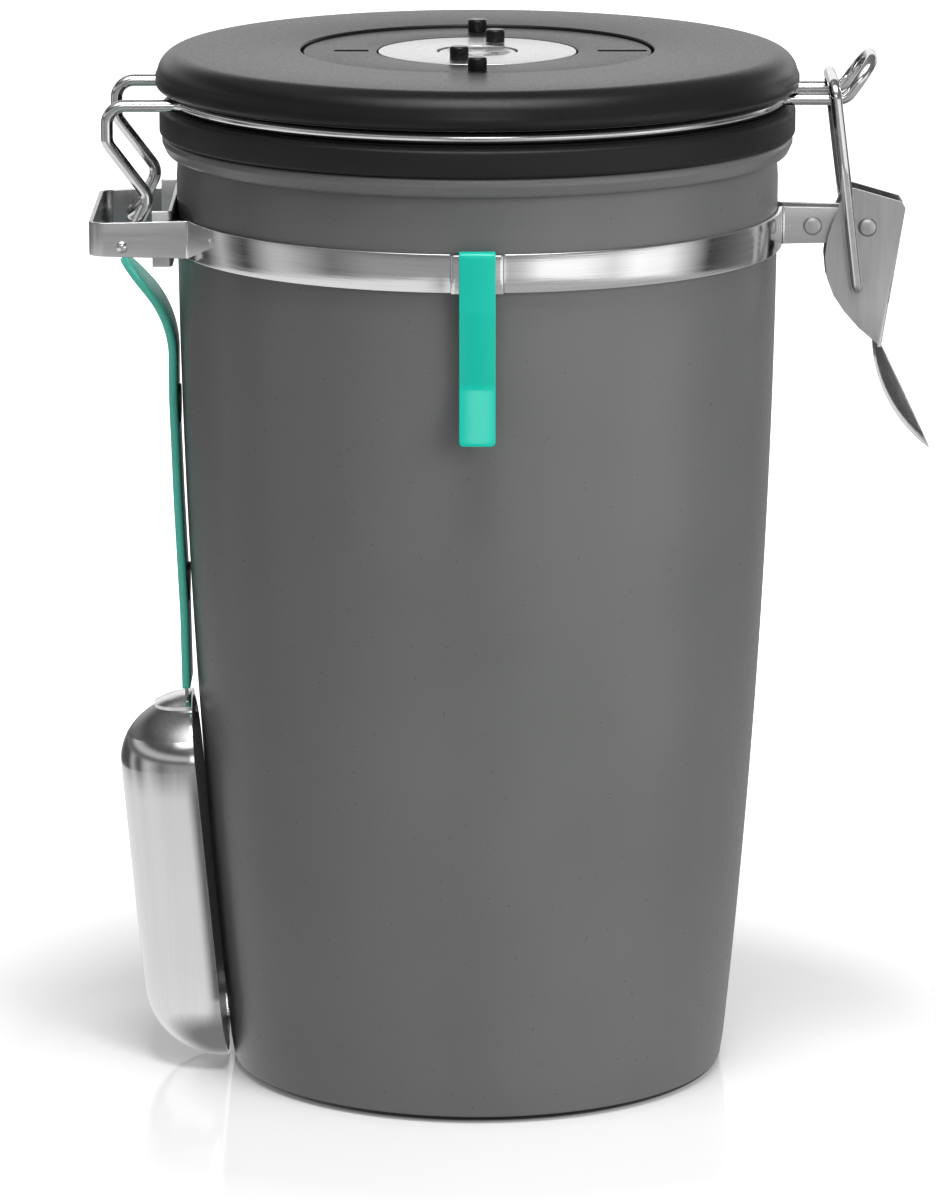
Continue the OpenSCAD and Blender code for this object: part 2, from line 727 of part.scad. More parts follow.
module handle_strip(w, t, top, low) {
    intersection() {
        along_y(w) polygon(strip(handle_line, t));
        translate([-2*body_r, 0, 0]) rotate([90, 0, 90]) linear_extrude(2*body_r) handle_face(w, top, low);
    }
}

// Steel strip in the handle, with the half-round tab that is welded over the bowl's end
module scoop_tang() {
    tab_r = handle_w/2 + 0.6;
    tab_t = 0.8;
    low = handle_line[0][1];
    color(steel) {
        handle_strip(handle_w - 4, tang_t, handle_top_z - 6, low - 1);
        in_scoop_frame() intersection() {
            difference() {
                bowl_solid(bowl_r + face_gap + tab_t);
                bowl_solid(bowl_r + face_gap);
            }
            translate([0, 0, bowl_len/2]) cylinder(r = tab_r, h = bowl_len);
            translate([-2*tab_r, -tab_r, 0]) cube([2*tab_r, 2*tab_r, 2*bowl_len]);
        }
        along_y(handle_w - 4) polygon(strip([
            [bowl_top[0] - 0.9, bowl_top[1] + 0.4],
            handle_line[0] + [0, 0.8]
        ], tang_t));
    }
}

magnet_zs = [handle_z(0.3), handle_z(0.77)];

module scoop_handle() {
    color(teal) difference() {
        handle_strip(handle_w, handle_t, handle_top_z, 0);
        handle_strip(handle_w - 4 + 0.2, tang_t + 0.2, handle_top_z - 5.9, -1);
        for (z = magnet_zs) magnet(z, 0.05);
    }
}

module magnet(z, grow) {
    translate([-(wall_r(z) + run_gap), 0, z]) rotate([0, -90, 0])
        cylinder(r = magnet_d/2 + grow, h = handle_gap - run_gap + magnet_in + grow);
}

module scoop_magnets() {
    color(black_plastic) for (z = magnet_zs) magnet(z, 0);
}

canister_body();
neck_band();
hinge_saddle();
band_rivet();
lever_pin();
front_clip();
bail_wire();
lid_cover();
lid_base();
lid_gasket();
valve_hub();
valve_flap();
valve_screen();
day_dial();
day_pegs();
month_dial();
month_face();
month_pegs();
latch_lever();
latch_link();
scoop_bowl();
scoop_tang();
scoop_handle();
scoop_magnets();
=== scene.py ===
import math

import bmesh
import bpy
from mathutils import Matrix, Vector


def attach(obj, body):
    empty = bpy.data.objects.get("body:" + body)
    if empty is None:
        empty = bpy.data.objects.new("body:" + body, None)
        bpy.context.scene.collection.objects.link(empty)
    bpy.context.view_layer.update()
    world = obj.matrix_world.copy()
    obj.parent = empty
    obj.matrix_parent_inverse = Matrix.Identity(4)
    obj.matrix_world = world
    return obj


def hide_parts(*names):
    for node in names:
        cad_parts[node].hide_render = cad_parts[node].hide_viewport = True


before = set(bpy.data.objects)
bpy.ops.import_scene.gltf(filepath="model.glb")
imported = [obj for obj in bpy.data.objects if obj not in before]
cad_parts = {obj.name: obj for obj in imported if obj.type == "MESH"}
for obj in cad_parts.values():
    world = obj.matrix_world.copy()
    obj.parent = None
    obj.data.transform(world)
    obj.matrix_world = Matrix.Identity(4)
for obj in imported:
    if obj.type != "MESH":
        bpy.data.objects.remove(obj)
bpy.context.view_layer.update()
scene = bpy.context.scene
MM = 0.001

# Sizes that follow the CAD source
BODY_H = 182.4
BODY_R = 57.3
TAPER = 9.6
WALL = 0.8
RIM_OUT = 2.7
RIM_H = 4.8
CURVE_TOP = BODY_H - 2.4
BAND_MID = 164.7
BAND_H = 7.2
LOOP_H = 6.4
SHEET = 0.8
BAND_R = BODY_R + 0.1 + SHEET / 2
CLIP_T = 0.6
BRIDGE_R = BODY_R + 0.7 + CLIP_T + SHEET / 2
LOOP_X = -(BODY_R + 15.9)
LOOP_Y = 20.4
EAR_Y = 3.0
EAR_X = 77.3
HINGE = (-66.9, 163.3)
LEVER = (74.3, 164.6)
RIVET = (63.9, 164.6)
LINK = (72.3, 152.9)
CHEEK_IN = 3.7
CHEEK_OUT = 4.5
WIRE_R = 1.15
WIRE_Z = 189.65
RING_R = 57.8
ARM_Y = 17.2
NOSE_Y = 8.0
LINK_R = 1.1
LINK_GAP = 0.65
LID_R = 61.2
LID_LO = 191.15
LID_HI = 198.25
DIAL_Z = LID_HI - 3.2
DIAL_HI = LID_HI - 0.5
CAP_Z = DIAL_HI - 0.2
PEG_H = 2.5
BRIDGE_W = 8.4
DAY_R = 33.1
MONTH_R = 18.8
CAP_R = 7.4
GASKET_LO = 182.5
GASKET_HI = 188.4


# Shapes
def wall_r(z):
    """Outer radius of the canister's wall at a height."""
    if z >= CURVE_TOP:
        return BODY_R
    return BODY_R - TAPER * ((CURVE_TOP - z) / CURVE_TOP) ** 2


def arc(cx, cy, r, a, b, n):
    """Points of an arc from angle a to angle b, in degrees."""
    out = []
    for i in range(n + 1):
        t = math.radians(a + (b - a) * i / n)
        out.append((cx + r * math.cos(t), cy + r * math.sin(t)))
    return out


def corner(a, b, c, r, n):
    """Points that round the corner b between a and c."""
    u = (a - b).normalized()
    v = (c - b).normalized()
    half = u.angle(v) / 2
    mid = b + (u + v).normalized() * r / math.sin(half)
    s = b + u * r / math.tan(half) - mid
    e = b + v * r / math.tan(half) - mid
    turn = math.pi - 2 * half
    return [
        mid + (s * math.sin(turn * (n - i) / n) + e * math.sin(turn * i / n)) / math.sin(turn)
        for i in range(n + 1)
    ]


def round_path(points, radii, n):
    """A 3-D path through points whose corners are rounded; a radius of 0 keeps the point."""
    pts = [Vector(p) for p in points]
    out = []
    for i, p in enumerate(pts):
        if radii[i] == 0:
            out.append(p)
        else:
            out.extend(corner(pts[i - 1], p, pts[i + 1], radii[i], n))
    return out


def new_mesh(name, verts, faces):
    """A mesh in metres from points in millimetres."""
    mesh = bpy.data.meshes.new(name)
    mesh.from_pydata([tuple(Vector(v) * MM) for v in verts], [], faces)
    bm = bmesh.new()
    bm.from_mesh(mesh)
    bmesh.ops.remove_doubles(bm, verts=bm.verts, dist=1e-7)
    bmesh.ops.recalc_face_normals(bm, faces=bm.faces)
    bm.to_mesh(mesh)
    bm.free()
    return mesh


def lathe(name, profile, steps=224):
    """A closed profile of (radius, height) turned round the Z axis."""
    verts = []
    rings = []
    for r, z in profile:
        if r < 1e-6:
            rings.append([len(verts)] * steps)
            verts.append((0, 0, z))
        else:
            start = len(verts)
            rings.append([start + k for k in range(steps)])
            for k in range(steps):
                t = 2 * math.pi * k / steps
                verts.append((r * math.cos(t), r * math.sin(t), z))
    faces = []
    count = len(profile)
    for i in range(count):
        a = rings[i]
        b = rings[(i + 1) % count]
        for k in range(steps):
            m = (k + 1) % steps
            quad = [a[k], a[m], b[m], b[k]]
            loop = [q for j, q in enumerate(quad) if q != quad[j - 1]]
            if len(loop) > 2:
                faces.append(loop)
    return new_mesh(name, verts, faces)


def fillet(points, radii, n=5):
    """A closed 2-D profile whose corners are rounded."""
    count = len(points)
    out = []
    for i in range(count):
        b = Vector((*points[i], 0))
        if radii[i] == 0:
            out.append((b.x, b.y))
            continue
        a = Vector((*points[i - 1], 0))
        c = Vector((*points[(i + 1) % count], 0))
        out.extend((p.x, p.y) for p in corner(a, b, c, radii[i], n))
    return out


def rounded_section(half_t, half_w, r, n=3):
    """Points (thickness, width) of a rounded rectangle."""
    r = min(r, half_t * 0.98, half_w * 0.98)
    out = []
    for sx, sy, a in ((1, 1, 0), (-1, 1, 90), (-1, -1, 180), (1, -1, 270)):
        out.extend(arc(sx * (half_t - r), sy * (half_w - r), r, a, a + 90, n))
    return out


def headings(path):
    """Unit direction of a path at each of its points."""
    out = []
    for i in range(len(path)):
        a = path[max(i - 1, 0)]
        b = path[min(i + 1, len(path) - 1)]
        out.append((b - a).normalized())
    return out


def strap(name, path, across, thick, width, edge=0.15, n=3):
    """A flat strip along a path. across is the direction of its width, and width(i) is half of it."""
    across = Vector(across).normalized()
    verts = []
    faces = []
    tangents = headings(path)
    count = 4 * (n + 1)
    for i, p in enumerate(path):
        normal = tangents[i].cross(across).normalized()
        for t, w in rounded_section(thick / 2, width(i), edge, n):
            verts.append(p + normal * t + across * w)
    for i in range(len(path) - 1):
        for k in range(count):
            m = (k + 1) % count
            faces.append([i * count + k, i * count + m, (i + 1) * count + m, (i + 1) * count + k])
    faces.append(list(range(count)))
    faces.append([(len(path) - 1) * count + k for k in range(count)])
    return new_mesh(name, verts, faces)


def tube(name, path, r, sides=20, cap=0.35):
    """A round wire along a path, with softened ends."""
    tangents = headings(path)
    side = Vector((0, 0, 1))
    rings = []
    for i, p in enumerate(path):
        t = tangents[i]
        side = (side - t * side.dot(t)).normalized()
        rings.append((p, side, t.cross(side), r))
    first, last = rings[0], rings[-1]
    rings.insert(0, (first[0] - tangents[0] * cap, first[1], first[2], r - cap))
    rings.append((last[0] + tangents[-1] * cap, last[1], last[2], r - cap))
    verts = []
    for p, s, q, radius in rings:
        for k in range(sides):
            t = 2 * math.pi * k / sides
            verts.append(p + s * radius * math.cos(t) + q * radius * math.sin(t))
    faces = []
    for i in range(len(rings) - 1):
        for k in range(sides):
            m = (k + 1) % sides
            faces.append([i * sides + k, i * sides + m, (i + 1) * sides + m, (i + 1) * sides + k])
    faces.append(list(range(sides)))
    faces.append([(len(rings) - 1) * sides + k for k in range(sides)])
    return new_mesh(name, verts, faces)


def plate(name, outline, lo, hi, place):
    """An outline (u, v) given a thickness from lo to hi. place(u, v, w) gives the 3-D point."""
    count = len(outline)
    verts = [place(u, v, lo) for u, v in outline] + [place(u, v, hi) for u, v in outline]
    faces = [list(range(count)), [count + k for k in range(count)]]
    for k in range(count):
        m = (k + 1) % count
        faces.append([k, m, count + m, count + k])
    return new_mesh(name, verts, faces)


def join_meshes(name, meshes):
    """Several closed shells in one mesh."""
    bm = bmesh.new()
    for mesh in meshes:
        bm.from_mesh(mesh)
    out = bpy.data.meshes.new(name)
    bm.to_mesh(out)
    bm.free()
    return out


def cad_copy(name, node):
    """A clean copy of a CAD node's mesh, with its flat faces joined up."""
    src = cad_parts[node].data
    mesh = bpy.data.meshes.new(name)
    mesh.from_pydata([v.co.copy() for v in src.vertices], [], [list(p.vertices) for p in src.polygons])
    bm = bmesh.new()
    bm.from_mesh(mesh)
    bmesh.ops.remove_doubles(bm, verts=bm.verts, dist=2e-6)
    bmesh.ops.dissolve_limit(bm, angle_limit=math.radians(0.6), verts=bm.verts, edges=bm.edges)
    bmesh.ops.recalc_face_normals(bm, faces=bm.faces)
    bm.to_mesh(mesh)
    bm.free()
    return mesh


def piece(name, mesh, material, body, replaces=(), bevel=0.0, smooth=32, segments=2):
    """Puts a mesh in the scene as a piece that rides on a body."""
    obj = bpy.data.objects.new(name, mesh)
    scene.collection.objects.link(obj)
    obj.data.shade_smooth()
    obj.data.set_sharp_from_angle(angle=math.radians(smooth))
    if bevel:
        mod = obj.modifiers.new("bevel", "BEVEL")
        mod.width = bevel * MM
        mod.segments = segments
        mod.limit_method = "ANGLE"
        mod.angle_limit = math.radians(30)
        mod.use_clamp_overlap = True
        mod.harden_normals = True
        bpy.context.view_layer.update()
        done = obj.evaluated_get(bpy.context.evaluated_depsgraph_get())
        made = bpy.data.meshes.new_from_object(done)
        obj.modifiers.clear()
        obj.data = made
    obj.data.materials.clear()
    obj.data.materials.append(material)
    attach(obj, body)
    if replaces:
        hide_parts(*replaces)
    return obj


def more_finish(obj, material, test):
    """Gives one more material to the faces whose middle, in millimetres, and normal pass a test."""
    obj.data.materials.append(material)
    for face in obj.data.polygons:
        if test(face.center / MM, face.normal):
            face.material_index = len(obj.data.materials) - 1


def faces_in(p, n):
    """True for the inner side of two cheeks that face each other across Y."""
    return abs(n.y) > 0.9 and n.y * p.y < 0


# Materials
class Nodes:
    """A short way to write a material's nodes."""

    def __init__(self, name):
        self.material = bpy.data.materials.new(name)
        self.material.use_nodes = True
        self.tree = self.material.node_tree
        self.shader = self.tree.nodes["Principled BSDF"]
        self.coord = self.tree.nodes.new("ShaderNodeTexCoord")

    def add(self, kind, **values):
        node = self.tree.nodes.new(kind)
        for key, value in values.items():
            setattr(node, key, value)
        return node

    def link(self, a, b):
        self.tree.links.new(a, b)

    def scaled(self, size):
        """Object coordinates, stretched by a size along X, Y and Z."""
        node = self.add("ShaderNodeMapping")
        node.inputs["Scale"].default_value = size
        self.link(self.coord.outputs["Object"], node.inputs["Vector"])
        return node.outputs["Vector"]

    def noise(self, vector, scale, detail=3.0, rough=0.5):
        node = self.add("ShaderNodeTexNoise")
        node.inputs["Scale"].default_value = scale
        node.inputs["Detail"].default_value = detail
        node.inputs["Roughness"].default_value = rough
        self.link(vector, node.inputs["Vector"])
        return node.outputs["Fac"]

    def spread(self, value, low, high, start=0.3, end=0.7):
        node = self.add("ShaderNodeMapRange")
        node.inputs["From Min"].default_value = start
        node.inputs["From Max"].default_value = end
        node.inputs["To Min"].default_value = low
        node.inputs["To Max"].default_value = high
        self.link(value, node.inputs["Value"])
        return node.outputs["Result"]

    def mix(self, factor, a, b):
        node = self.add("ShaderNodeMix", data_type="RGBA")
        self.link(factor, node.inputs["Factor"])
        node.inputs[6].default_value = (*a, 1)
        node.inputs[7].default_value = (*b, 1)
        return node.outputs[2]

    def bump(self, value, strength, depth):
        node = self.add("ShaderNodeBump")
        node.inputs["Strength"].default_value = strength
        node.inputs["Distance"].default_value = depth
        self.link(value, node.inputs["Height"])
        self.link(node.outputs["Normal"], self.shader.inputs["Normal"])


def coated(name, dark, light, rough, grain, depth, specular=0.5):
    """Powder coat, plastic or rubber: a fine grain, with slight changes of colour and gloss."""
    m = Nodes(name)
    plain = m.scaled((1, 1, 1))
    cloud = m.noise(plain, 28, 2)
    fine = m.noise(plain, grain, 4, 0.6)
    m.link(m.mix(m.spread(cloud, 0, 1), dark, light), m.shader.inputs["Base Color"])
    m.link(m.spread(fine, rough - 0.05, rough + 0.05), m.shader.inputs["Roughness"])
    m.shader.inputs["Specular IOR Level"].default_value = specular
    m.bump(fine, 0.5, depth)
    return m.material


def steel(grey):
    """A grey with the slight blue of stainless steel."""
    return (grey, grey, grey + 0.005)


def metal(name, dark, light, rough, stretch, scale, depth, spread=0.05):
    """Stainless steel with fine lines: stretch is small along the direction of the lines."""
    m = Nodes(name)
    lines = m.noise(m.scaled(stretch), scale, 4, 0.65)
    cloud = m.noise(m.scaled((1, 1, 1)), 45, 2)
    m.link(m.mix(m.spread(lines, 0, 1), dark, light), m.shader.inputs["Base Color"])
    m.shader.inputs["Metallic"].default_value = 1.0
    sum_node = m.add("ShaderNodeMath", operation="ADD")
    m.link(m.spread(lines, rough - spread, rough + spread), sum_node.inputs[0])
    m.link(m.spread(cloud, 0, 0.03), sum_node.inputs[1])
    m.link(sum_node.outputs[0], m.shader.inputs["Roughness"])
    m.bump(lines, 0.35, depth)
    return m.material


def turned_metal(name, dark, light, rough):
    """Steel disc with lines that run round its centre."""
    m = Nodes(name)
    parts = m.add("ShaderNodeSeparateXYZ")
    m.link(m.coord.outputs["Object"], parts.inputs[0])
    flat = m.add("ShaderNodeCombineXYZ")
    m.link(parts.outputs[0], flat.inputs[0])
    m.link(parts.outputs[1], flat.inputs[1])
    length = m.add("ShaderNodeVectorMath", operation="LENGTH")
    m.link(flat.outputs[0], length.inputs[0])
    radius = m.add("ShaderNodeCombineXYZ")
    m.link(length.outputs["Value"], radius.inputs[0])
    lines = m.noise(radius.outputs[0], 2600, 3, 0.6)
    m.link(m.mix(m.spread(lines, 0, 1), dark, light), m.shader.inputs["Base Color"])
    m.shader.inputs["Metallic"].default_value = 1.0
    m.link(m.spread(lines, rough - 0.06, rough + 0.06), m.shader.inputs["Roughness"])
    m.bump(lines, 0.3, 0.00003)
    return m.material


# name, two colours, roughness, grains per metre, depth of the grain in metres, specular level
GREY_COAT = coated("grey_coat", (0.084, 0.087, 0.084), (0.094, 0.097, 0.094), 0.32, 900, 1.5e-5)
LID_COAT = coated(
    "lid_coat", (0.0045, 0.0045, 0.0047), (0.0065, 0.0065, 0.0068), 0.32, 1600, 4e-5, 0.25
)
DIAL_COAT = coated("dial_coat", (0.006, 0.006, 0.0062), (0.008, 0.008, 0.0083), 0.34, 1600, 4e-5, 0.3)
BLACK_PLASTIC = coated(
    "black_plastic", (0.004, 0.004, 0.0042), (0.006, 0.006, 0.0062), 0.42, 1400, 4e-5, 0.2
)
# Black rubber for the seal and the valve flap; on the canister's foot the same black is painted contact
# shadow.
RUBBER_AND_FOOT_SHADE = coated(
    "black_rubber", (0.004, 0.004, 0.004), (0.0065, 0.0065, 0.0065), 0.46, 1200, 5e-5, 0.3
)
PEG = coated("peg_gloss", (0.0035, 0.0035, 0.0037), (0.005, 0.005, 0.0052), 0.22, 900, 2e-5, 0.3)
TEAL_COAT = coated("teal_coat", (0.002, 0.33, 0.25), (0.003, 0.355, 0.27), 0.17, 1100, 4e-6, 0.38)
TEAL_SLEEVE = coated("teal_sleeve", (0.06, 0.42, 0.33), (0.07, 0.46, 0.36), 0.4, 1300, 3e-5)

# name, two colours, roughness, stretch of the lines, their scale and depth in metres
BAND_STEEL = metal("band_steel", steel(0.7), steel(0.78), 0.1, (8, 8, 300), 6, 3e-5)
WIRE_STEEL = metal("wire_steel", (0.66, 0.66, 0.67), (0.74, 0.74, 0.75), 0.12, (1, 1, 1), 500, 2e-5)
SHEET_STEEL = metal("sheet_steel", steel(0.54), steel(0.62), 0.34, (120, 120, 10), 8, 3e-5)
TAB_STEEL = metal("tab_steel", steel(0.62), steel(0.7), 0.14, (10, 10, 120), 6, 2e-5)
# Brighter, rougher steel that paints a highlight on the lever's bends and web.
PAINTED_HIGHLIGHT_STEEL = metal("painted_highlight_steel", steel(0.84), steel(0.92), 0.4, (10, 10, 120), 6, 2e-5)
LOOP_STEEL = metal("loop_steel", steel(0.54), steel(0.62), 0.32, (10, 10, 260), 6, 3e-5)
SCOOP_STEEL = metal("scoop_steel", steel(0.68), steel(0.72), 0.13, (260, 260, 6), 5, 6e-6, 0.015)
# Dark steel that paints shade inside the bowl, the loop and the ears, on the lever's inner cheeks and
# round the rivet heads.
PAINTED_SHADE_STEEL = metal("painted_shade_steel", steel(0.24), steel(0.3), 0.32, (260, 260, 6), 5, 3e-5)
DISC_STEEL = turned_metal("disc_steel", (0.76, 0.76, 0.76), (0.86, 0.86, 0.86), 0.3)


# Canister
def make_canister():
    """The wall, its rolled rim and its raised base, turned in one profile."""
    foot_round = 1.8
    foot_shade_h = 1.1
    rise = 1.4
    floor_in = BODY_R - TAPER - foot_round - 4
    edge_r = wall_r(0) - foot_round
    steps = 56
    top = BODY_H - RIM_H
    high = BODY_H - 1.2
    inner_steps = 30
    outer_z = [foot_round + (top - foot_round) * i / steps for i in range(1, steps + 1)]
    inner_z = [foot_round + (high - foot_round) * i / inner_steps for i in range(inner_steps, 0, -1)]
    outer = [(wall_r(z), z) for z in outer_z]
    inner = [(wall_r(z) - WALL, z) for z in inner_z]
    out = BODY_R + RIM_OUT
    rim = fillet(
        [
            (BODY_R, top),
            (BODY_R + RIM_OUT * 0.72, BODY_H - RIM_H * 0.66),
            (out, BODY_H - RIM_H * 0.3),
            (out, BODY_H),
            (BODY_R - WALL, BODY_H),
        ],
        [1.2, 1.4, 0.5, 0.8, 0.5],
        4,
    )
    base = [(0, rise), (floor_in - rise, rise), (floor_in, 0)]
    foot = arc(edge_r, foot_round, foot_round, -90, 0, 8)
    set_in = 0.3
    inside = [
        (edge_r, WALL),
        (floor_in + set_in, WALL),
        (floor_in - rise + set_in, rise + WALL),
        (0, rise + WALL),
    ]
    mesh = lathe("canister", base + foot + outer[:-1] + rim + inner + inside, 288)
    body = piece("canister", mesh, GREY_COAT, "canister", ["canister_body"], smooth=40)
    # Painted shade: the lowest band of the foot's rounded edge is black, as a contact shadow.
    more_finish(body, RUBBER_AND_FOOT_SHADE, lambda p, n: p.z < foot_shade_h and math.hypot(p.x, p.y) > edge_r)


def ring_point(r, angle, z=BAND_MID):
    """A point of a circle round the Z axis, at an angle in degrees."""
    t = math.radians(angle)
    return Vector((r * math.cos(t), r * math.sin(t), z))


def band_half(sign):
    """Half of the band: hinge loop, ring and latch ear, bent from one strip."""
    loop_y = LOOP_Y - SHEET / 2
    loop_x = LOOP_X + SHEET / 2
    ear_y = EAR_Y - SHEET / 2
    hinge_turn = math.degrees(math.asin(loop_y / BAND_R))
    ear_turn = math.degrees(math.asin(ear_y / BAND_R))
    bridge_x = (BRIDGE_W + SHEET) / 2
    bridge_turn = math.degrees(math.asin(bridge_x / BAND_R))
    loop_round = 2.6
    fold_round = 0.9
    fold_turn = 2.2
    step_round = 0.5
    step_turn = 1.2
    ring_steps = 100
    points = [(loop_x, 0, BAND_MID), (loop_x, -loop_y, BAND_MID)]
    radii = [0, loop_round]
    a0 = 180 + hinge_turn
    a1 = 360 - ear_turn
    points.append(tuple(ring_point(BAND_R, a0)))
    radii.append(fold_round)
    span = a1 - a0 - 2 * fold_turn
    gap = (270 - bridge_turn, 270 + bridge_turn)
    bridged = False
    for i in range(ring_steps + 1):
        a = a0 + fold_turn + span * i / ring_steps
        if sign > 0 or not gap[0] - step_turn < a < gap[1] + step_turn:
            points.append(tuple(ring_point(BAND_R, a)))
            radii.append(0)
        elif a > gap[0] and not bridged:
            bridged = True
            low_y = -math.sqrt(BAND_R**2 - bridge_x**2)
            high_y = -math.sqrt(BRIDGE_R**2 - bridge_x**2)
            points += [
                (-bridge_x, low_y, BAND_MID),
                (-bridge_x, high_y, BAND_MID),
                (0, -BRIDGE_R, BAND_MID),
                (bridge_x, high_y, BAND_MID),
                (bridge_x, low_y, BAND_MID),
            ]
            radii += [step_round, step_round, 0, step_round, step_round]
    points.append(tuple(ring_point(BAND_R, a1)))
    radii.append(fold_round)
    points.append((EAR_X, -ear_y, BAND_MID))
    radii.append(0)
    path = round_path(points, radii, 5)

    def width(i):
        """Half of the strip's width: it narrows at the loop and at the ears."""
        p = path[i]
        r = math.hypot(p.x, p.y)
        out = p.x < 0 and abs(p.y) > loop_y - 0.6 and r > BAND_R + 1.2
        narrow = out or abs(p.x) > BRIDGE_R + 1.5 or r > BRIDGE_R + 1.0
        return LOOP_H / 2 if narrow else BAND_H / 2

    mesh = strap("band_half", path, (0, 0, 1), SHEET, width, 0.16)
    if sign > 0:
        mesh.transform(Matrix.Scale(-1, 4, (0, 1, 0)))
        mesh.flip_normals()
    return mesh


def make_band():
    """The neck band, with its loop and ears, and the saddle inside its loop."""
    mesh = join_meshes("band", [band_half(-1), band_half(1)])
    band = piece("band", mesh, BAND_STEEL, "canister", ["neck_band"], smooth=40)

    clear_of_ring = BRIDGE_R + 0.9
    past_folds = BRIDGE_R + 2
    turned_back = -40

    def stands_off(p, n):
        """True for the loop and the ears."""
        return math.hypot(p.x, p.y) > clear_of_ring

    def looks_in(p, n):
        """True for the inner sides of the loop and the ears, which get painted shade."""
        return abs(p.x) > past_folds and (faces_in(p, n) or n.x * p.x < turned_back)

    more_finish(band, LOOP_STEEL, stands_off)
    # Painted shade: dark steel on the inner sides of the loop and the ears.
    more_finish(band, PAINTED_SHADE_STEEL, looks_in)
    gap = 0.1
    flange = 3.8
    half_h = 5.3
    x0 = -(BODY_R + gap)
    y0 = LOOP_Y - SHEET - gap - SHEET / 2
    path = round_path(
        [
            (x0 - flange, -y0, BAND_MID),
            (x0 - SHEET / 2, -y0, BAND_MID),
            (x0 - SHEET / 2, y0, BAND_MID),
            (x0 - flange, y0, BAND_MID),
        ],
        [0, 0.6, 0.6, 0],
        4,
    )
    saddle = strap("saddle", path, (0, 0, 1), SHEET, lambda i: half_h, 0.16)
    piece("saddle", saddle, LOOP_STEEL, "canister", ["hinge_saddle"])


def turned_pin(name, at, half_len, head_h, r=1.4, head=1.8):
    """A rivet along Y with two low domed heads."""
    end = half_len + head_h
    side = [(r, half_len), (head, half_len), (head, half_len + head_h * 0.45)]
    dome = [(head * f, half_len + head_h * (1 - 0.55 * f**3)) for f in (0.82, 0.6, 0.3, 0.0)]
    half = side + dome
    profile = [(p, z) for p, z in half] + [(p, -z) for p, z in reversed(half)]
    mesh = lathe(name, profile, 64)
    place = Matrix.Translation((at[0] * MM, 0, at[1] * MM))
    mesh.transform(place @ Matrix.Rotation(math.radians(90), 4, "X"))
    return mesh


def make_rivets():
    """Both rivets, with painted shade in dark steel round the rim of their heads, where they meet the
    sheet.
    """
    shade_ring_r = 1.6
    rows = (
        ("band_rivet_heads", RIVET, EAR_Y, 0.4, "band_rivet"),
        ("lever_rivet", LEVER, CHEEK_OUT + 0.1, 0.5, "lever_pin"),
    )
    for name, at, half_len, head_h, node in rows:
        mesh = turned_pin(name, at, half_len, head_h)
        pin = piece(name, mesh, SHEET_STEEL, "canister", [node])
        # Painted shade: dark steel round the rim of each head.
        more_finish(pin, PAINTED_SHADE_STEEL, lambda p, n: math.hypot(p.x - at[0], p.z - at[1]) > shade_ring_r)


def make_clip():
    """The clip: over the band, down the wall, and flared at its end."""
    gap = 0.35
    length = 35
    hook = 1
    lean = 0.9
    lean_from = 3.4
    flare_h = 10.5
    flare_out = 2.6
    half_w = 3.35
    end_round = 0.8
    step = 1.2
    back = -(BODY_R + gap + CLIP_T / 2)
    front = -(BRIDGE_R + SHEET / 2 + gap + CLIP_T / 2)
    top = BAND_MID + BAND_H / 2 + 0.1 + CLIP_T / 2
    tip = BAND_MID + BAND_H / 2 - length
    low = BAND_MID - BAND_H / 2
    path = round_path(
        [
            (0, back, low + hook),
            (0, back, top),
            (0, front, top),
            (0, front, low - lean_from),
            (0, front + lean, tip + flare_h),
            (0, front + lean - flare_out, tip),
        ],
        [0, 0.7, 0.7, 3, 5, 0],
        8,
    )
    long_part = []
    for a, b in zip(path, path[1:]):
        steps = max(1, int((b - a).length / step))
        long_part += [a + (b - a) * k / steps for k in range(steps)]
    long_part.append(path[-1])
    end_steps = [0.62, 0.36, 0.18, 0.06]
    last = long_part.pop()
    heading = (last - long_part[-1]).normalized()
    long_part += [last - heading * s for s in end_steps] + [last]

    def width(i):
        """Half of the clip's width, with round corners at its end."""
        left = (long_part[i] - last).length
        if left >= end_round:
            return half_w
        return half_w - end_round + math.sqrt(max(0.0, end_round**2 - (end_round - left) ** 2))

    mesh = strap("clip", long_part, (1, 0, 0), CLIP_T, width, 0.2)
    piece("clip", mesh, TEAL_COAT, "clip", ["front_clip"], smooth=40)


# Lid
def make_bail():
    """One wire: from the hinge up two legs, round under the lid, and out to the nose."""
    ring_steps = 76
    leg_x = 2.7
    hx, hz = HINGE
    z = WIRE_Z
    arm_turn = math.degrees(math.asin(ARM_Y / RING_R))
    nose_turn = math.degrees(math.asin(NOSE_Y / RING_R))
    nose_x = LEVER[0] - 4.6
    a0 = 180 + arm_turn
    a1 = 360 - nose_turn - 3
    ring = [tuple(ring_point(RING_R, a0 + (a1 - a0) * i / ring_steps, z)) for i in range(ring_steps + 1)]
    start = [
        (hx, -LOOP_Y + 0.05, hz),
        (hx, -ARM_Y, hz),
        (hx + 2.4, -ARM_Y, hz + 3.2),
        (hx + 5.2, -ARM_Y, hz + 8.9),
        (hx - leg_x, -ARM_Y, z - 7),
        (hx - leg_x, -ARM_Y, z),
        ring[0],
    ]
    tip = [
        (RING_R * math.cos(math.radians(nose_turn)), -NOSE_Y, z),
        (nose_x, -NOSE_Y, z),
        (nose_x + 5, -NOSE_Y, z + 7),
    ]
    half = start + ring[1:] + tip
    radii = [0, 1.5, 4, 3.2, 3, 3.4, 2.6] + [0] * (len(ring) - 1) + [2.4, 3, 5]
    path = round_path(
        half + [(x, -y, w) for x, y, w in reversed(half)],
        radii + list(reversed(radii)),
        9,
    )
    mesh = tube("bail", path, WIRE_R, 24, 0.3)
    piece("bail", mesh, WIRE_STEEL, "lid", ["bail_wire"], smooth=50)


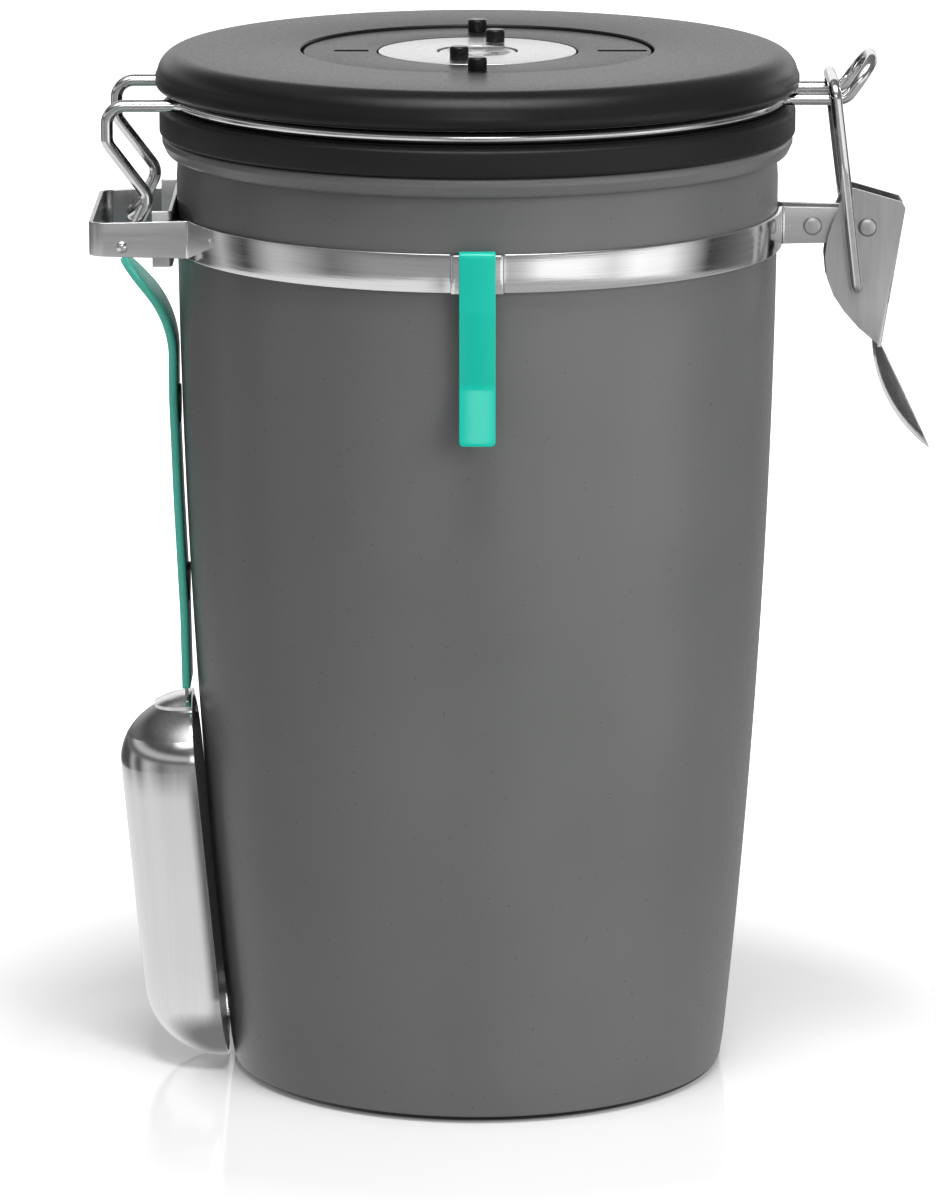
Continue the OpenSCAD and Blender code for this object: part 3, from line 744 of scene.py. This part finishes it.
def make_lid():
    """The coated cover with its pocket for the dials, and the seal under it."""
    hub_hole = 6.1
    sheet = 1.8
    pocket = DAY_R + 0.5
    big = 4.6
    skirt = 1.8
    low_round = 1.2
    inner = LID_R - skirt - low_round
    # The top falls a little from flat_r to the rounded edge, whose centre is at mid_r.
    flat_r = 52
    mid_r = LID_R - big - 0.3
    crown_turn = 2.2
    crown_rad = math.radians(crown_turn)
    crown_r = (mid_r - flat_r) / math.sin(crown_rad) + big
    edge_z = LID_HI - crown_r + (crown_r - big) * math.cos(crown_rad)
    lip = 0.35
    wall = 1.4
    floor_z = DIAL_Z - 1.2
    profile = (
        [(hub_hole, DIAL_Z), (pocket, DIAL_Z), (pocket, LID_HI - lip)]
        + arc(pocket + lip, LID_HI - lip, lip, 180, 90, 4)
        + arc(flat_r, LID_HI - crown_r, crown_r, 90, 90 - crown_turn, 8)
        + arc(mid_r, edge_z, big, 88 - crown_turn, 10, 18)
        + [(LID_R, LID_LO + 2.4)]
        + arc(LID_R - low_round, LID_LO + low_round, low_round, 0, -90, 6)
        + [(inner, LID_LO), (inner, LID_HI - 2 * sheet), (inner - sheet, LID_HI - sheet)]
        + [(pocket + wall, LID_HI - sheet), (pocket + wall, floor_z), (hub_hole, floor_z)]
    )
    cover = lathe("lid_top", profile, 288)
    piece("lid_top", cover, LID_COAT, "lid", ["lid_cover"], smooth=40)
    in_r = 53.1
    out_r = BODY_R + 3.2
    seal = (
        [(in_r, GASKET_LO), (out_r - 1, GASKET_LO)]
        + arc(out_r - 0.7, GASKET_LO + 0.7, 0.7, -60, 0, 5)
        + arc(out_r - 0.9, GASKET_HI - 1.5, 0.9, 0, 75, 7)
        + [(out_r - 1.8, GASKET_HI - 0.3), (RING_R + 1, GASKET_HI), (in_r, GASKET_HI)]
    )
    mesh = lathe("gasket", seal, 288)
    piece("gasket", mesh, RUBBER_AND_FOOT_SHADE, "lid", ["lid_gasket"], smooth=40)


def make_valve():
    """The hub's tube and its perforated cap, with a low rim."""
    tube_r = 5.9
    bore_r = tube_r - 1
    seat = GASKET_HI + 0.5
    cap_under = CAP_Z - 1.1
    bore_top = CAP_Z - 1.8
    dish = 0.25
    edge = 0.3
    hole_r = 0.7
    hole_ring = 3.2
    profile = (
        [(0, bore_top), (bore_r, bore_top), (bore_r, seat), (tube_r, seat), (tube_r, cap_under)]
        + [(CAP_R, cap_under), (CAP_R, CAP_Z - edge)]
        + arc(CAP_R - edge, CAP_Z - edge, edge, 0, 90, 4)
        + [(CAP_R - 1.2, CAP_Z), (CAP_R - 1.6, CAP_Z - dish), (0, CAP_Z - dish)]
    )
    hub = bpy.data.objects.new("hub_blank", lathe("hub_blank", profile, 96))
    scene.collection.objects.link(hub)
    holes = []
    for i in range(6):
        t = math.radians(60 * i)
        place = Vector((hole_ring * math.cos(t), hole_ring * math.sin(t), CAP_Z - 3))
        hole = lathe("hole", [(0, 0), (hole_r, 0), (hole_r, 4), (0, 4)], 32)
        hole.transform(Matrix.Translation(place * MM))
        holes.append(hole)
    cut(hub, join_meshes("holes", holes))
    mesh = hub.data
    bpy.data.objects.remove(hub)
    piece("valve_cap", mesh, DISC_STEEL, "lid", ["valve_hub"], smooth=40)


def cut(obj, tool_mesh):
    """Takes a closed mesh away from an object."""
    tool = bpy.data.objects.new("tool", tool_mesh)
    scene.collection.objects.link(tool)
    mod = obj.modifiers.new("cut", "BOOLEAN")
    mod.operation = "DIFFERENCE"
    mod.solver = "EXACT"
    mod.object = tool
    bpy.context.view_layer.update()
    done = obj.evaluated_get(bpy.context.evaluated_depsgraph_get())
    made = bpy.data.meshes.new_from_object(done)
    obj.modifiers.clear()
    obj.data = made
    bpy.data.objects.remove(tool)


def slot_box(x, length, top, depth=0.6, width=2.2):
    """A small box that cuts a straight mark, with round ends."""
    r = 0.5
    half = width / 2 - r
    right = x + length / 2 - r
    left = x - length / 2 + r
    outline = arc(right, -half, r, -90, 0, 5) + arc(right, half, r, 0, 90, 5)
    outline += arc(left, half, r, 90, 180, 5) + arc(left, -half, r, 180, 270, 5)
    return plate("slot", outline, top - depth, top + 1, lambda u, v, w: (u, v, w))


def make_dials():
    """The outer ring with its two marks, the steel disc, and a pair of pegs on each."""
    in_r = MONTH_R + 0.35
    lip = in_r - 1.4
    z = DIAL_Z + 0.1
    top = DIAL_HI
    right_mark = (1.4, 9.4)
    left_mark = (2.2, 6.6)
    day_peg_r = 26.7
    month_peg_r = 12.4
    peg_r = 1.8
    peg_round = 0.45
    profile = (
        [(lip, z), (DAY_R, z), (DAY_R, top - 0.3)]
        + arc(DAY_R - 0.3, top - 0.3, 0.3, 0, 90, 4)
        + arc(in_r + 0.25, top - 0.25, 0.25, 90, 180, 4)
        + [(in_r, z + 1), (lip, z + 1)]
    )
    dial = bpy.data.objects.new("dial_blank", lathe("dial_blank", profile, 224))
    scene.collection.objects.link(dial)
    mid = (in_r + DAY_R) / 2
    marks = [
        slot_box(mid + right_mark[0], right_mark[1], top),
        slot_box(-mid + left_mark[0], left_mark[1], top),
    ]
    cut(dial, join_meshes("marks", marks))
    mesh = dial.data
    bpy.data.objects.remove(dial)

    def in_a_mark(p, n):
        """True for the floor and the sides of the two marks."""
        return abs(p.y) < 1.2 and in_r + 1 < abs(p.x) < DAY_R - 1 and z + 1 < p.z < top - 0.05

    ring = piece("day_ring_top", mesh, DIAL_COAT, "day_ring", ["day_dial"], smooth=40)
    more_finish(ring, BLACK_PLASTIC, in_a_mark)
    disc_t = 0.4
    edge = 0.18
    hub_r = CAP_R + 0.35
    face_z = DIAL_HI - disc_t
    edge_z = face_z + disc_t - edge
    face = (
        [(hub_r, face_z), (MONTH_R, face_z), (MONTH_R, edge_z)]
        + arc(MONTH_R - edge, edge_z, edge, 0, 90, 4)
        + [(hub_r, face_z + disc_t)]
    )
    disc = lathe("month_disc", face, 192)
    piece("month_disc", disc, DISC_STEEL, "month_ring", ["month_face"], smooth=40)
    pegs = {"day": [(0, day_peg_r), (0, -day_peg_r)], "month": []}
    turn = math.radians(-16)
    for s in (1, -1):
        pegs["month"].append((-s * month_peg_r * math.sin(turn), s * month_peg_r * math.cos(turn)))
    for key, body in (("day", "day_ring"), ("month", "month_ring")):
        made = []
        for x, y in pegs[key]:
            crown = arc(peg_r - peg_round, PEG_H - peg_round, peg_round, 0, 90, 6)
            one = lathe("peg", [(0, 0.1), (peg_r, 0.1)] + crown + [(0, PEG_H)], 48)
            one.transform(Matrix.Translation(Vector((x, y, top)) * MM))
            made.append(one)
        mesh = join_meshes(key, made)
        piece(key + "_peg_pair", mesh, PEG, body, [key + "_pegs"], smooth=40)


# Latch
def bend_lever(mesh):
    """Rounds the bends between the lever's cheeks and its outer web."""
    bend_r = 0.75
    shortest = 4
    bm = bmesh.new()
    bm.from_mesh(mesh)
    bends = []
    for edge in bm.edges:
        if len(edge.link_faces) != 2 or edge.calc_length() < shortest * MM or not edge.is_convex:
            continue
        a, b = sorted((face.normal for face in edge.link_faces), key=lambda n: abs(n.y))
        if abs(b.y) > 0.95 and abs(a.y) < 0.3 and a.x > 0.5:
            bends.append(edge)
    bmesh.ops.bevel(
        bm, geom=bends, offset=bend_r * MM, offset_type="OFFSET", segments=4, profile=0.5, affect="EDGES"
    )
    bm.to_mesh(mesh)
    bm.free()


def make_lever():
    """The folded lever: glossier steel on its web and edges, a painted highlight on the bends and web
    that face outward, and painted shade on the inner sides of its cheeks.
    """
    mesh = cad_copy("lever", "latch_lever")
    bend_lever(mesh)
    node = ["latch_lever"]
    lever = piece("lever_sheet", mesh, SHEET_STEEL, "lever", node, bevel=0.14)
    tab_z = LEVER[1] - 21
    more_finish(lever, TAB_STEEL, lambda p, n: abs(n.y) < 0.7)
    # Painted highlight on the bends and web that face outward.
    more_finish(lever, PAINTED_HIGHLIGHT_STEEL, lambda p, n: abs(n.y) < 0.93 and n.x > 0.3)
    # Painted shade on the cheeks' inner sides above the tab.
    more_finish(lever, PAINTED_SHADE_STEEL, lambda p, n: p.z > tab_z and faces_in(p, n))


def make_link():
    """One wire from the lever's two cheeks up over the lid's nose."""
    lx, lz = LINK
    top_z = WIRE_Z + WIRE_R + LINK_R + LINK_GAP
    top_x = LEVER[0] - 6.9
    foot_y = CHEEK_OUT + 0.4 + LINK_R
    wide_y = 10.8
    wide_h = 24
    wide_x = lx + (top_x - lx) * wide_h / (top_z - lz)
    half = [
        (lx, -(CHEEK_IN + SHEET / 2), lz),
        (lx, -foot_y, lz),
        (wide_x, -wide_y, lz + wide_h),
        (top_x, -wide_y, top_z),
    ]
    radii = [0, 1.5, 12, 2.6]
    path = round_path(
        half + [(x, -y, w) for x, y, w in reversed(half)],
        radii + list(reversed(radii)),
        12,
    )
    mesh = tube("link_wire", path, LINK_R, 24, 0.3)
    piece("link_wire", mesh, WIRE_STEEL, "link", ["latch_link"], smooth=50)


# Scoop
BOWL_LEN = 72.5
BOWL_R = 15.2
BOWL_T = 0.8
TOP_FLAT = 0.8  # height of the bowl's top end over its radius
BOWL_TOP = BOWL_LEN - BOWL_R * TOP_FLAT
LEAN = math.atan((wall_r(BOWL_LEN) - wall_r(0) + 0.6) / BOWL_LEN)
FOOT_X = -(wall_r(0) + 0.8)
FOOT_Z = BOWL_R - BOWL_R * math.cos(LEAN)


def scoop_place():
    """Matrix that stands the scoop's own frame against the wall, in metres."""
    return Matrix.Translation(Vector((FOOT_X, 0, FOOT_Z)) * MM) @ Matrix.Rotation(-LEAN, 4, "Y")


def bowl_profile(r, n):
    """Half of the bowl's outline (radius, height), from its lowest point to its highest."""
    wall_steps = 8
    low = arc(0, BOWL_R, r, -90, 0, n)[1:]
    wall = [(r, BOWL_R + (BOWL_TOP - BOWL_R) * i / wall_steps) for i in range(1, wall_steps + 1)]
    high = [(x, BOWL_TOP + TOP_FLAT * z) for x, z in arc(0, 0, r, 0, 90, n)[1:-1]]
    return [(0, BOWL_R - r)] + low + wall + high + [(0, BOWL_TOP + TOP_FLAT * r)]


def inside_bowl(q):
    """True for the bowl's inner face and its flatter top end, away from its rim, which get painted
    shade.
    """
    rim = 0.3
    axis_z = min(max(q.z, BOWL_R), BOWL_TOP)
    reach = Vector((q.x, q.y, q.z - axis_z)).length
    return q.x < -rim and reach < BOWL_R - 0.55


def make_bowl():
    """The half capsule, as an outer and an inner shell joined along the open side."""
    n = 16
    outer = bowl_profile(BOWL_R, n)
    inner = bowl_profile(BOWL_R - BOWL_T, n)
    steps = 72
    verts = []
    grid = []
    for shell in (outer, inner):
        rows = []
        for r, z in shell:
            if r < 1e-6:
                rows.append([len(verts)] * (steps + 1))
                verts.append((0, 0, z))
                continue
            row = []
            for k in range(steps + 1):
                t = math.radians(90 + 180 * k / steps)
                row.append(len(verts))
                verts.append((r * math.cos(t), r * math.sin(t), z))
            rows.append(row)
        grid.append(rows)
    faces = []
    for rows in grid:
        for a, b in zip(rows, rows[1:]):
            for k in range(steps):
                quad = [a[k], a[k + 1], b[k + 1], b[k]]
                loop = [q for j, q in enumerate(quad) if q != quad[j - 1]]
                if len(loop) > 2:
                    faces.append(loop)
    for k in (0, steps):
        for i in range(len(outer) - 1):
            faces.append([grid[0][i][k], grid[0][i + 1][k], grid[1][i + 1][k], grid[1][i][k]])
    mesh = new_mesh("bowl", verts, faces)
    mesh.transform(scoop_place())
    bowl = piece("bowl", mesh, SCOOP_STEEL, "scoop", ["scoop_bowl"], bevel=0.16)
    own_frame = scoop_place().inverted()
    # Painted shade: dark steel on the bowl's inner face.
    more_finish(bowl, PAINTED_SHADE_STEEL, lambda p, n: inside_bowl(own_frame @ (p * MM) / MM))


def make_handle():
    """The teal sleeve along the wall, curved away at its top, and the steel tang under it."""
    half_t = 0.8
    off_wall = 0.75
    above_bowl = 2.6
    below_loop = 3.4
    bend_h = 11.3
    bend_out = 10.4
    half_w = 7.0
    bowl_x = FOOT_X - BOWL_LEN * math.sin(LEAN)
    bowl_z = FOOT_Z + BOWL_LEN * math.cos(LEAN)
    top_z = BAND_MID - LOOP_H / 2 - below_loop
    bend_z = top_z - bend_h
    turn_z = top_z - half_w
    points = [(bowl_x - 0.9, 0, bowl_z + above_bowl)]
    for share in (0.23, 0.52, 0.8):
        z = bowl_z + share * (bend_z - bowl_z)
        points.append((-(wall_r(z) + off_wall + half_t), 0, z))
    points += [(-(BODY_R + half_t), 0, bend_z), (-(BODY_R + bend_out), 0, top_z)]
    line = round_path(points, [0, 30, 60, 30, 20, 0], 14)
    even = []
    for a, b in zip(line, line[1:]):
        steps = max(1, int((b - a).length))
        even += [a + (b - a) * k / steps for k in range(steps)]
    even.append(line[-1])
    path = []
    for a, b in zip(even, even[1:]):
        steps = 4 if a.z > top_z - 2 else 1
        path += [a + (b - a) * k / steps for k in range(steps)]
    path.append(even[-1])

    def width(i):
        """Half of the sleeve's width, which ends in a half circle."""
        z = path[i].z
        if z <= turn_z:
            return half_w
        return max(half_t, math.sqrt(max(0.0, half_w**2 - (z - turn_z) ** 2)))

    mesh = strap("sleeve", path, (0, 1, 0), 2 * half_t, width, 0.72, 5)
    piece("sleeve", mesh, TEAL_SLEEVE, "scoop", ["scoop_handle"], smooth=50)
    mesh = cad_copy("tang", "scoop_tang")
    piece("tang", mesh, SCOOP_STEEL, "scoop", ["scoop_tang"], bevel=0.16)


make_canister()
make_band()
make_rivets()
make_clip()
make_bail()
make_lid()
make_valve()
make_dials()
make_lever()
make_link()
make_bowl()
make_handle()

# CAD pieces whose shape is kept
KEPT = {
    "lid_base": BLACK_PLASTIC,
    "valve_flap": RUBBER_AND_FOOT_SHADE,
    "valve_screen": BAND_STEEL,
    "month_dial": BLACK_PLASTIC,
    "scoop_magnets": BLACK_PLASTIC,
}
for node_name, material in KEPT.items():
    kept_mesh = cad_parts[node_name].data
    kept_mesh.materials.clear()
    kept_mesh.materials.append(material)


# Studio
def make_floor():
    """A pale floor with a faint gloss. Away from the object it glows white for the camera."""
    half = 6000
    below = 0.2
    grey = 0.64
    shine = 0.16
    glow_from = 0.09
    glow_full = 0.28
    glow_low = 0.1
    verts = [(-half, -half, 0), (half, -half, 0), (half, half, 0), (-half, half, 0)]
    mesh = new_mesh("floor", verts, [[0, 1, 2, 3]])
    mesh.transform(Matrix.Translation((0, 0, -below * MM)))
    floor = bpy.data.objects.new("floor", mesh)
    scene.collection.objects.link(floor)
    material = bpy.data.materials.new("floor")
    material.use_nodes = True
    tree = material.node_tree
    tree.nodes.clear()
    out = tree.nodes.new("ShaderNodeOutputMaterial")
    diffuse = tree.nodes.new("ShaderNodeBsdfDiffuse")
    diffuse.inputs["Color"].default_value = (grey, grey, grey, 1)
    gloss = tree.nodes.new("ShaderNodeBsdfGlossy")
    gloss.inputs["Roughness"].default_value = 0.1
    gloss.inputs["Color"].default_value = (1, 1, 1, 1)
    blend = tree.nodes.new("ShaderNodeMixShader")
    blend.inputs[0].default_value = shine
    glow = tree.nodes.new("ShaderNodeEmission")
    path = tree.nodes.new("ShaderNodeLightPath")
    coord = tree.nodes.new("ShaderNodeTexCoord")
    far = tree.nodes.new("ShaderNodeVectorMath")
    far.operation = "LENGTH"
    tree.links.new(coord.outputs["Object"], far.inputs[0])
    ramp = tree.nodes.new("ShaderNodeMapRange")
    ramp.inputs["From Min"].default_value = glow_from
    ramp.inputs["From Max"].default_value = glow_full
    ramp.inputs["To Min"].default_value = glow_low
    ramp.inputs["To Max"].default_value = 1.0
    tree.links.new(far.outputs["Value"], ramp.inputs["Value"])
    strength = tree.nodes.new("ShaderNodeMath")
    strength.operation = "MULTIPLY"
    tree.links.new(ramp.outputs["Result"], strength.inputs[0])
    tree.links.new(path.outputs["Is Camera Ray"], strength.inputs[1])
    tree.links.new(strength.outputs[0], glow.inputs["Strength"])
    add = tree.nodes.new("ShaderNodeAddShader")
    tree.links.new(diffuse.outputs[0], blend.inputs[1])
    tree.links.new(gloss.outputs[0], blend.inputs[2])
    tree.links.new(blend.outputs[0], add.inputs[0])
    tree.links.new(glow.outputs[0], add.inputs[1])
    tree.links.new(add.outputs[0], out.inputs["Surface"])
    mesh.materials.append(material)
    floor.visible_glossy = False


def make_world():
    """White for the camera, an even grey for soft light, and soft boxes and dark flags for gloss."""
    world = bpy.data.worlds.new("studio")
    scene.world = world
    world.use_nodes = True
    world.cycles.sampling_method = "NONE"
    tree = world.node_tree
    tree.nodes.clear()
    nodes = tree.nodes
    links = tree.links
    out = nodes.new("ShaderNodeOutputWorld")
    back = nodes.new("ShaderNodeBackground")
    links.new(back.outputs[0], out.inputs["Surface"])
    coord = nodes.new("ShaderNodeTexCoord")
    parts = nodes.new("ShaderNodeSeparateXYZ")
    links.new(coord.outputs["Generated"], parts.inputs[0])

    def math_node(operation, a, b=None):
        node = nodes.new("ShaderNodeMath")
        node.operation = operation
        for i, value in enumerate((a, b)):
            if value is None:
                continue
            if isinstance(value, (int, float)):
                node.inputs[i].default_value = value
            else:
                links.new(value, node.inputs[i])
        return node.outputs[0]

    def grey_ramp(value, rows):
        """A ramp of greys through rows of (place, brightness)."""
        node = nodes.new("ShaderNodeValToRGB")
        stops = node.color_ramp.elements
        while len(stops) < len(rows):
            stops.new(0.5)
        for stop, (at, grey) in zip(stops, rows):
            stop.position = at
        for stop, (at, grey) in zip(stops, rows):
            stop.color = (grey, grey, grey, 1)
        links.new(value, node.inputs[0])
        return node.outputs["Color"]

    def step(value, low, high):
        """Goes from 0 to 1 as the value goes from low to high."""
        node = nodes.new("ShaderNodeMapRange")
        node.inputs["From Min"].default_value = low
        node.inputs["From Max"].default_value = high
        links.new(value, node.inputs["Value"])
        return node.outputs["Result"]

    def blend(factor, a, b):
        node = nodes.new("ShaderNodeMix")
        links.new(factor, node.inputs["Factor"])
        for socket, value in ((node.inputs[2], a), (node.inputs[3], b)):
            if isinstance(value, (int, float)):
                socket.default_value = value
            else:
                links.new(value, socket)
        return node.outputs[0]

    def product(*factors):
        out_value = factors[0]
        for factor in factors[1:]:
            out_value = math_node("MULTIPLY", out_value, factor)
        return out_value

    def total(*terms):
        out_value = terms[0]
        for term in terms[1:]:
            out_value = math_node("ADD", out_value, term)
        return out_value

    # x, y and z are the parts of a direction of length 1: right, back and up
    x, y, z = parts.outputs
    side = math_node("ABSOLUTE", math_node("SUBTRACT", x, 0.03))

    # Soft boxes round the object: degrees to the right of its front, and brightness.
    boxes = [
        (-180, 0.8), (-165, 0.35), (-150, 0.1), (-124, 0.08), (-112, 0.55), (-104, 0.18),
        (-97, 0.06), (-84, 0.58), (-78, 0.62), (-56, 0.2), (-40, 0.36), (2, 0.37), (16, 0.7),
        (24, 1.35), (40, 1.3), (52, 0.95), (62, 1.35), (76, 1.2), (90, 0.4), (97, 0.06),
        (112, 0.14), (126, 0.22), (137, 0.05), (146, 0.25), (165, 0.4), (180, 0.8),
    ]
    turn = math_node("ARCTAN2", x, math_node("MULTIPLY", y, -1))
    place = math_node("ADD", math_node("DIVIDE", turn, 2 * math.pi), 0.5)
    ring = grey_ramp(place, [(angle / 360 + 0.5, grey) for angle, grey in boxes])

    # The upper part of the room is dark, with stripes on the left and a white wall at the back.
    room = 0.2
    wall = 1.08
    levels = [
        (0.0, 0.3), (0.14, 0.1), (0.24, 0.65), (0.33, 0.55),
        (0.42, 0.08), (0.6, 0.14), (0.76, 0.5), (1.0, 0.2),
    ]
    upper = blend(step(x, -0.15, -0.3), room, grey_ramp(z, levels))
    upper = blend(product(step(y, 0.8, 0.93), step(z, 0.6, 0.4)), upper, wall)

    # The floor is white on the left and grey elsewhere, dark in front and dim underneath.
    floor_grey = 0.5
    floor_front = 0.08
    floor_left = 0.95
    floor_under = 0.25
    front = product(step(z, -0.38, -0.33), step(x, 0.2, 0.05), step(y, 0.2, -0.2))
    lower = blend(front, floor_grey, floor_front)
    lower = blend(step(x, -0.12, -0.32), lower, floor_left)
    lower = blend(step(z, -0.62, -0.9), lower, floor_under)
    horizon = total(z, product(math_node("ABSOLUTE", x), 0.094))
    base = blend(step(z, 0.0, 0.08), ring, upper)
    base = blend(step(horizon, -0.2, -0.225), base, lower)

    # One soft box over the front of the object, a small one in front of it and one behind the latch.
    top_power = 7.5
    small_power = 3.2
    back_power = 0.75
    over = product(step(z, 0.55, 0.7), step(side, 0.6, 0.08))
    top_box = product(over, step(y, -0.05, -0.18), step(y, -0.75, -0.6), top_power)
    ahead = product(step(z, 0.16, 0.22), step(z, 0.42, 0.36))
    small_box = product(ahead, step(side, 0.24, 0.14), step(y, 0.0, -0.3), small_power)
    behind = product(step(z, -0.12, -0.05), step(z, 0.34, 0.24))
    back_box = product(behind, step(x, 0.36, 0.44), step(y, 0.55, 0.65), back_power)
    gloss = total(base, top_box, small_box, back_box)

    # Soft light for matt surfaces, a little stronger from above, the right and the front.
    soft_level = 0.352
    even = total(soft_level, product(x, 0.24), product(y, -0.1), product(z, 0.22))
    path = nodes.new("ShaderNodeLightPath")
    soft = nodes.new("ShaderNodeMix")
    soft.data_type = "RGBA"
    links.new(path.outputs["Is Glossy Ray"], soft.inputs["Factor"])
    links.new(even, soft.inputs[6])
    links.new(gloss, soft.inputs[7])
    seen = nodes.new("ShaderNodeMix")
    seen.data_type = "RGBA"
    links.new(path.outputs["Is Camera Ray"], seen.inputs["Factor"])
    links.new(soft.outputs[2], seen.inputs[6])
    seen.inputs[7].default_value = (1, 1, 1, 1)
    links.new(seen.outputs[2], back.inputs["Color"])


def lamp(name, place, aim, size, power):
    """A rectangular lamp. Sizes are in metres and watts, and gloss doesn't show it."""
    data = bpy.data.lights.new(name, "AREA")
    data.shape = "RECTANGLE"
    data.size, data.size_y = size
    data.energy = power
    obj = bpy.data.objects.new(name, data)
    scene.collection.objects.link(obj)
    obj.location = place
    obj.rotation_euler = (Vector(aim) - Vector(place)).to_track_quat("-Z", "Y").to_euler()
    obj.visible_glossy = False
    return obj


make_floor()
make_world()
lamp("key", (1.15, -1.25, 0.75), (0, 0, 0.1), (0.9, 1.1), 27)
lamp("fill", (-1.3, -0.6, 0.9), (0, 0, 0.1), (0.9, 1.1), 1)
lamp("top", (0.0, -0.3, 1.25), (0, 0, 0.05), (0.36, 0.36), 13)

# Camera, fitted to the photograph
DOWN = 12.56
ROLL = 0.0015
camera_data = bpy.data.cameras.new("camera")
camera_data.sensor_fit = "HORIZONTAL"
camera_data.sensor_width = 36
camera_data.lens = 255.5
camera_data.clip_start = 0.05
camera_data.clip_end = 50
camera = bpy.data.objects.new("camera", camera_data)
scene.collection.objects.link(camera)
camera.location = (0, -1.253, 0.370)
camera.rotation_euler = (math.radians(90 - DOWN), 0, ROLL)
scene.camera = camera
scene.view_settings.view_transform = "Standard"
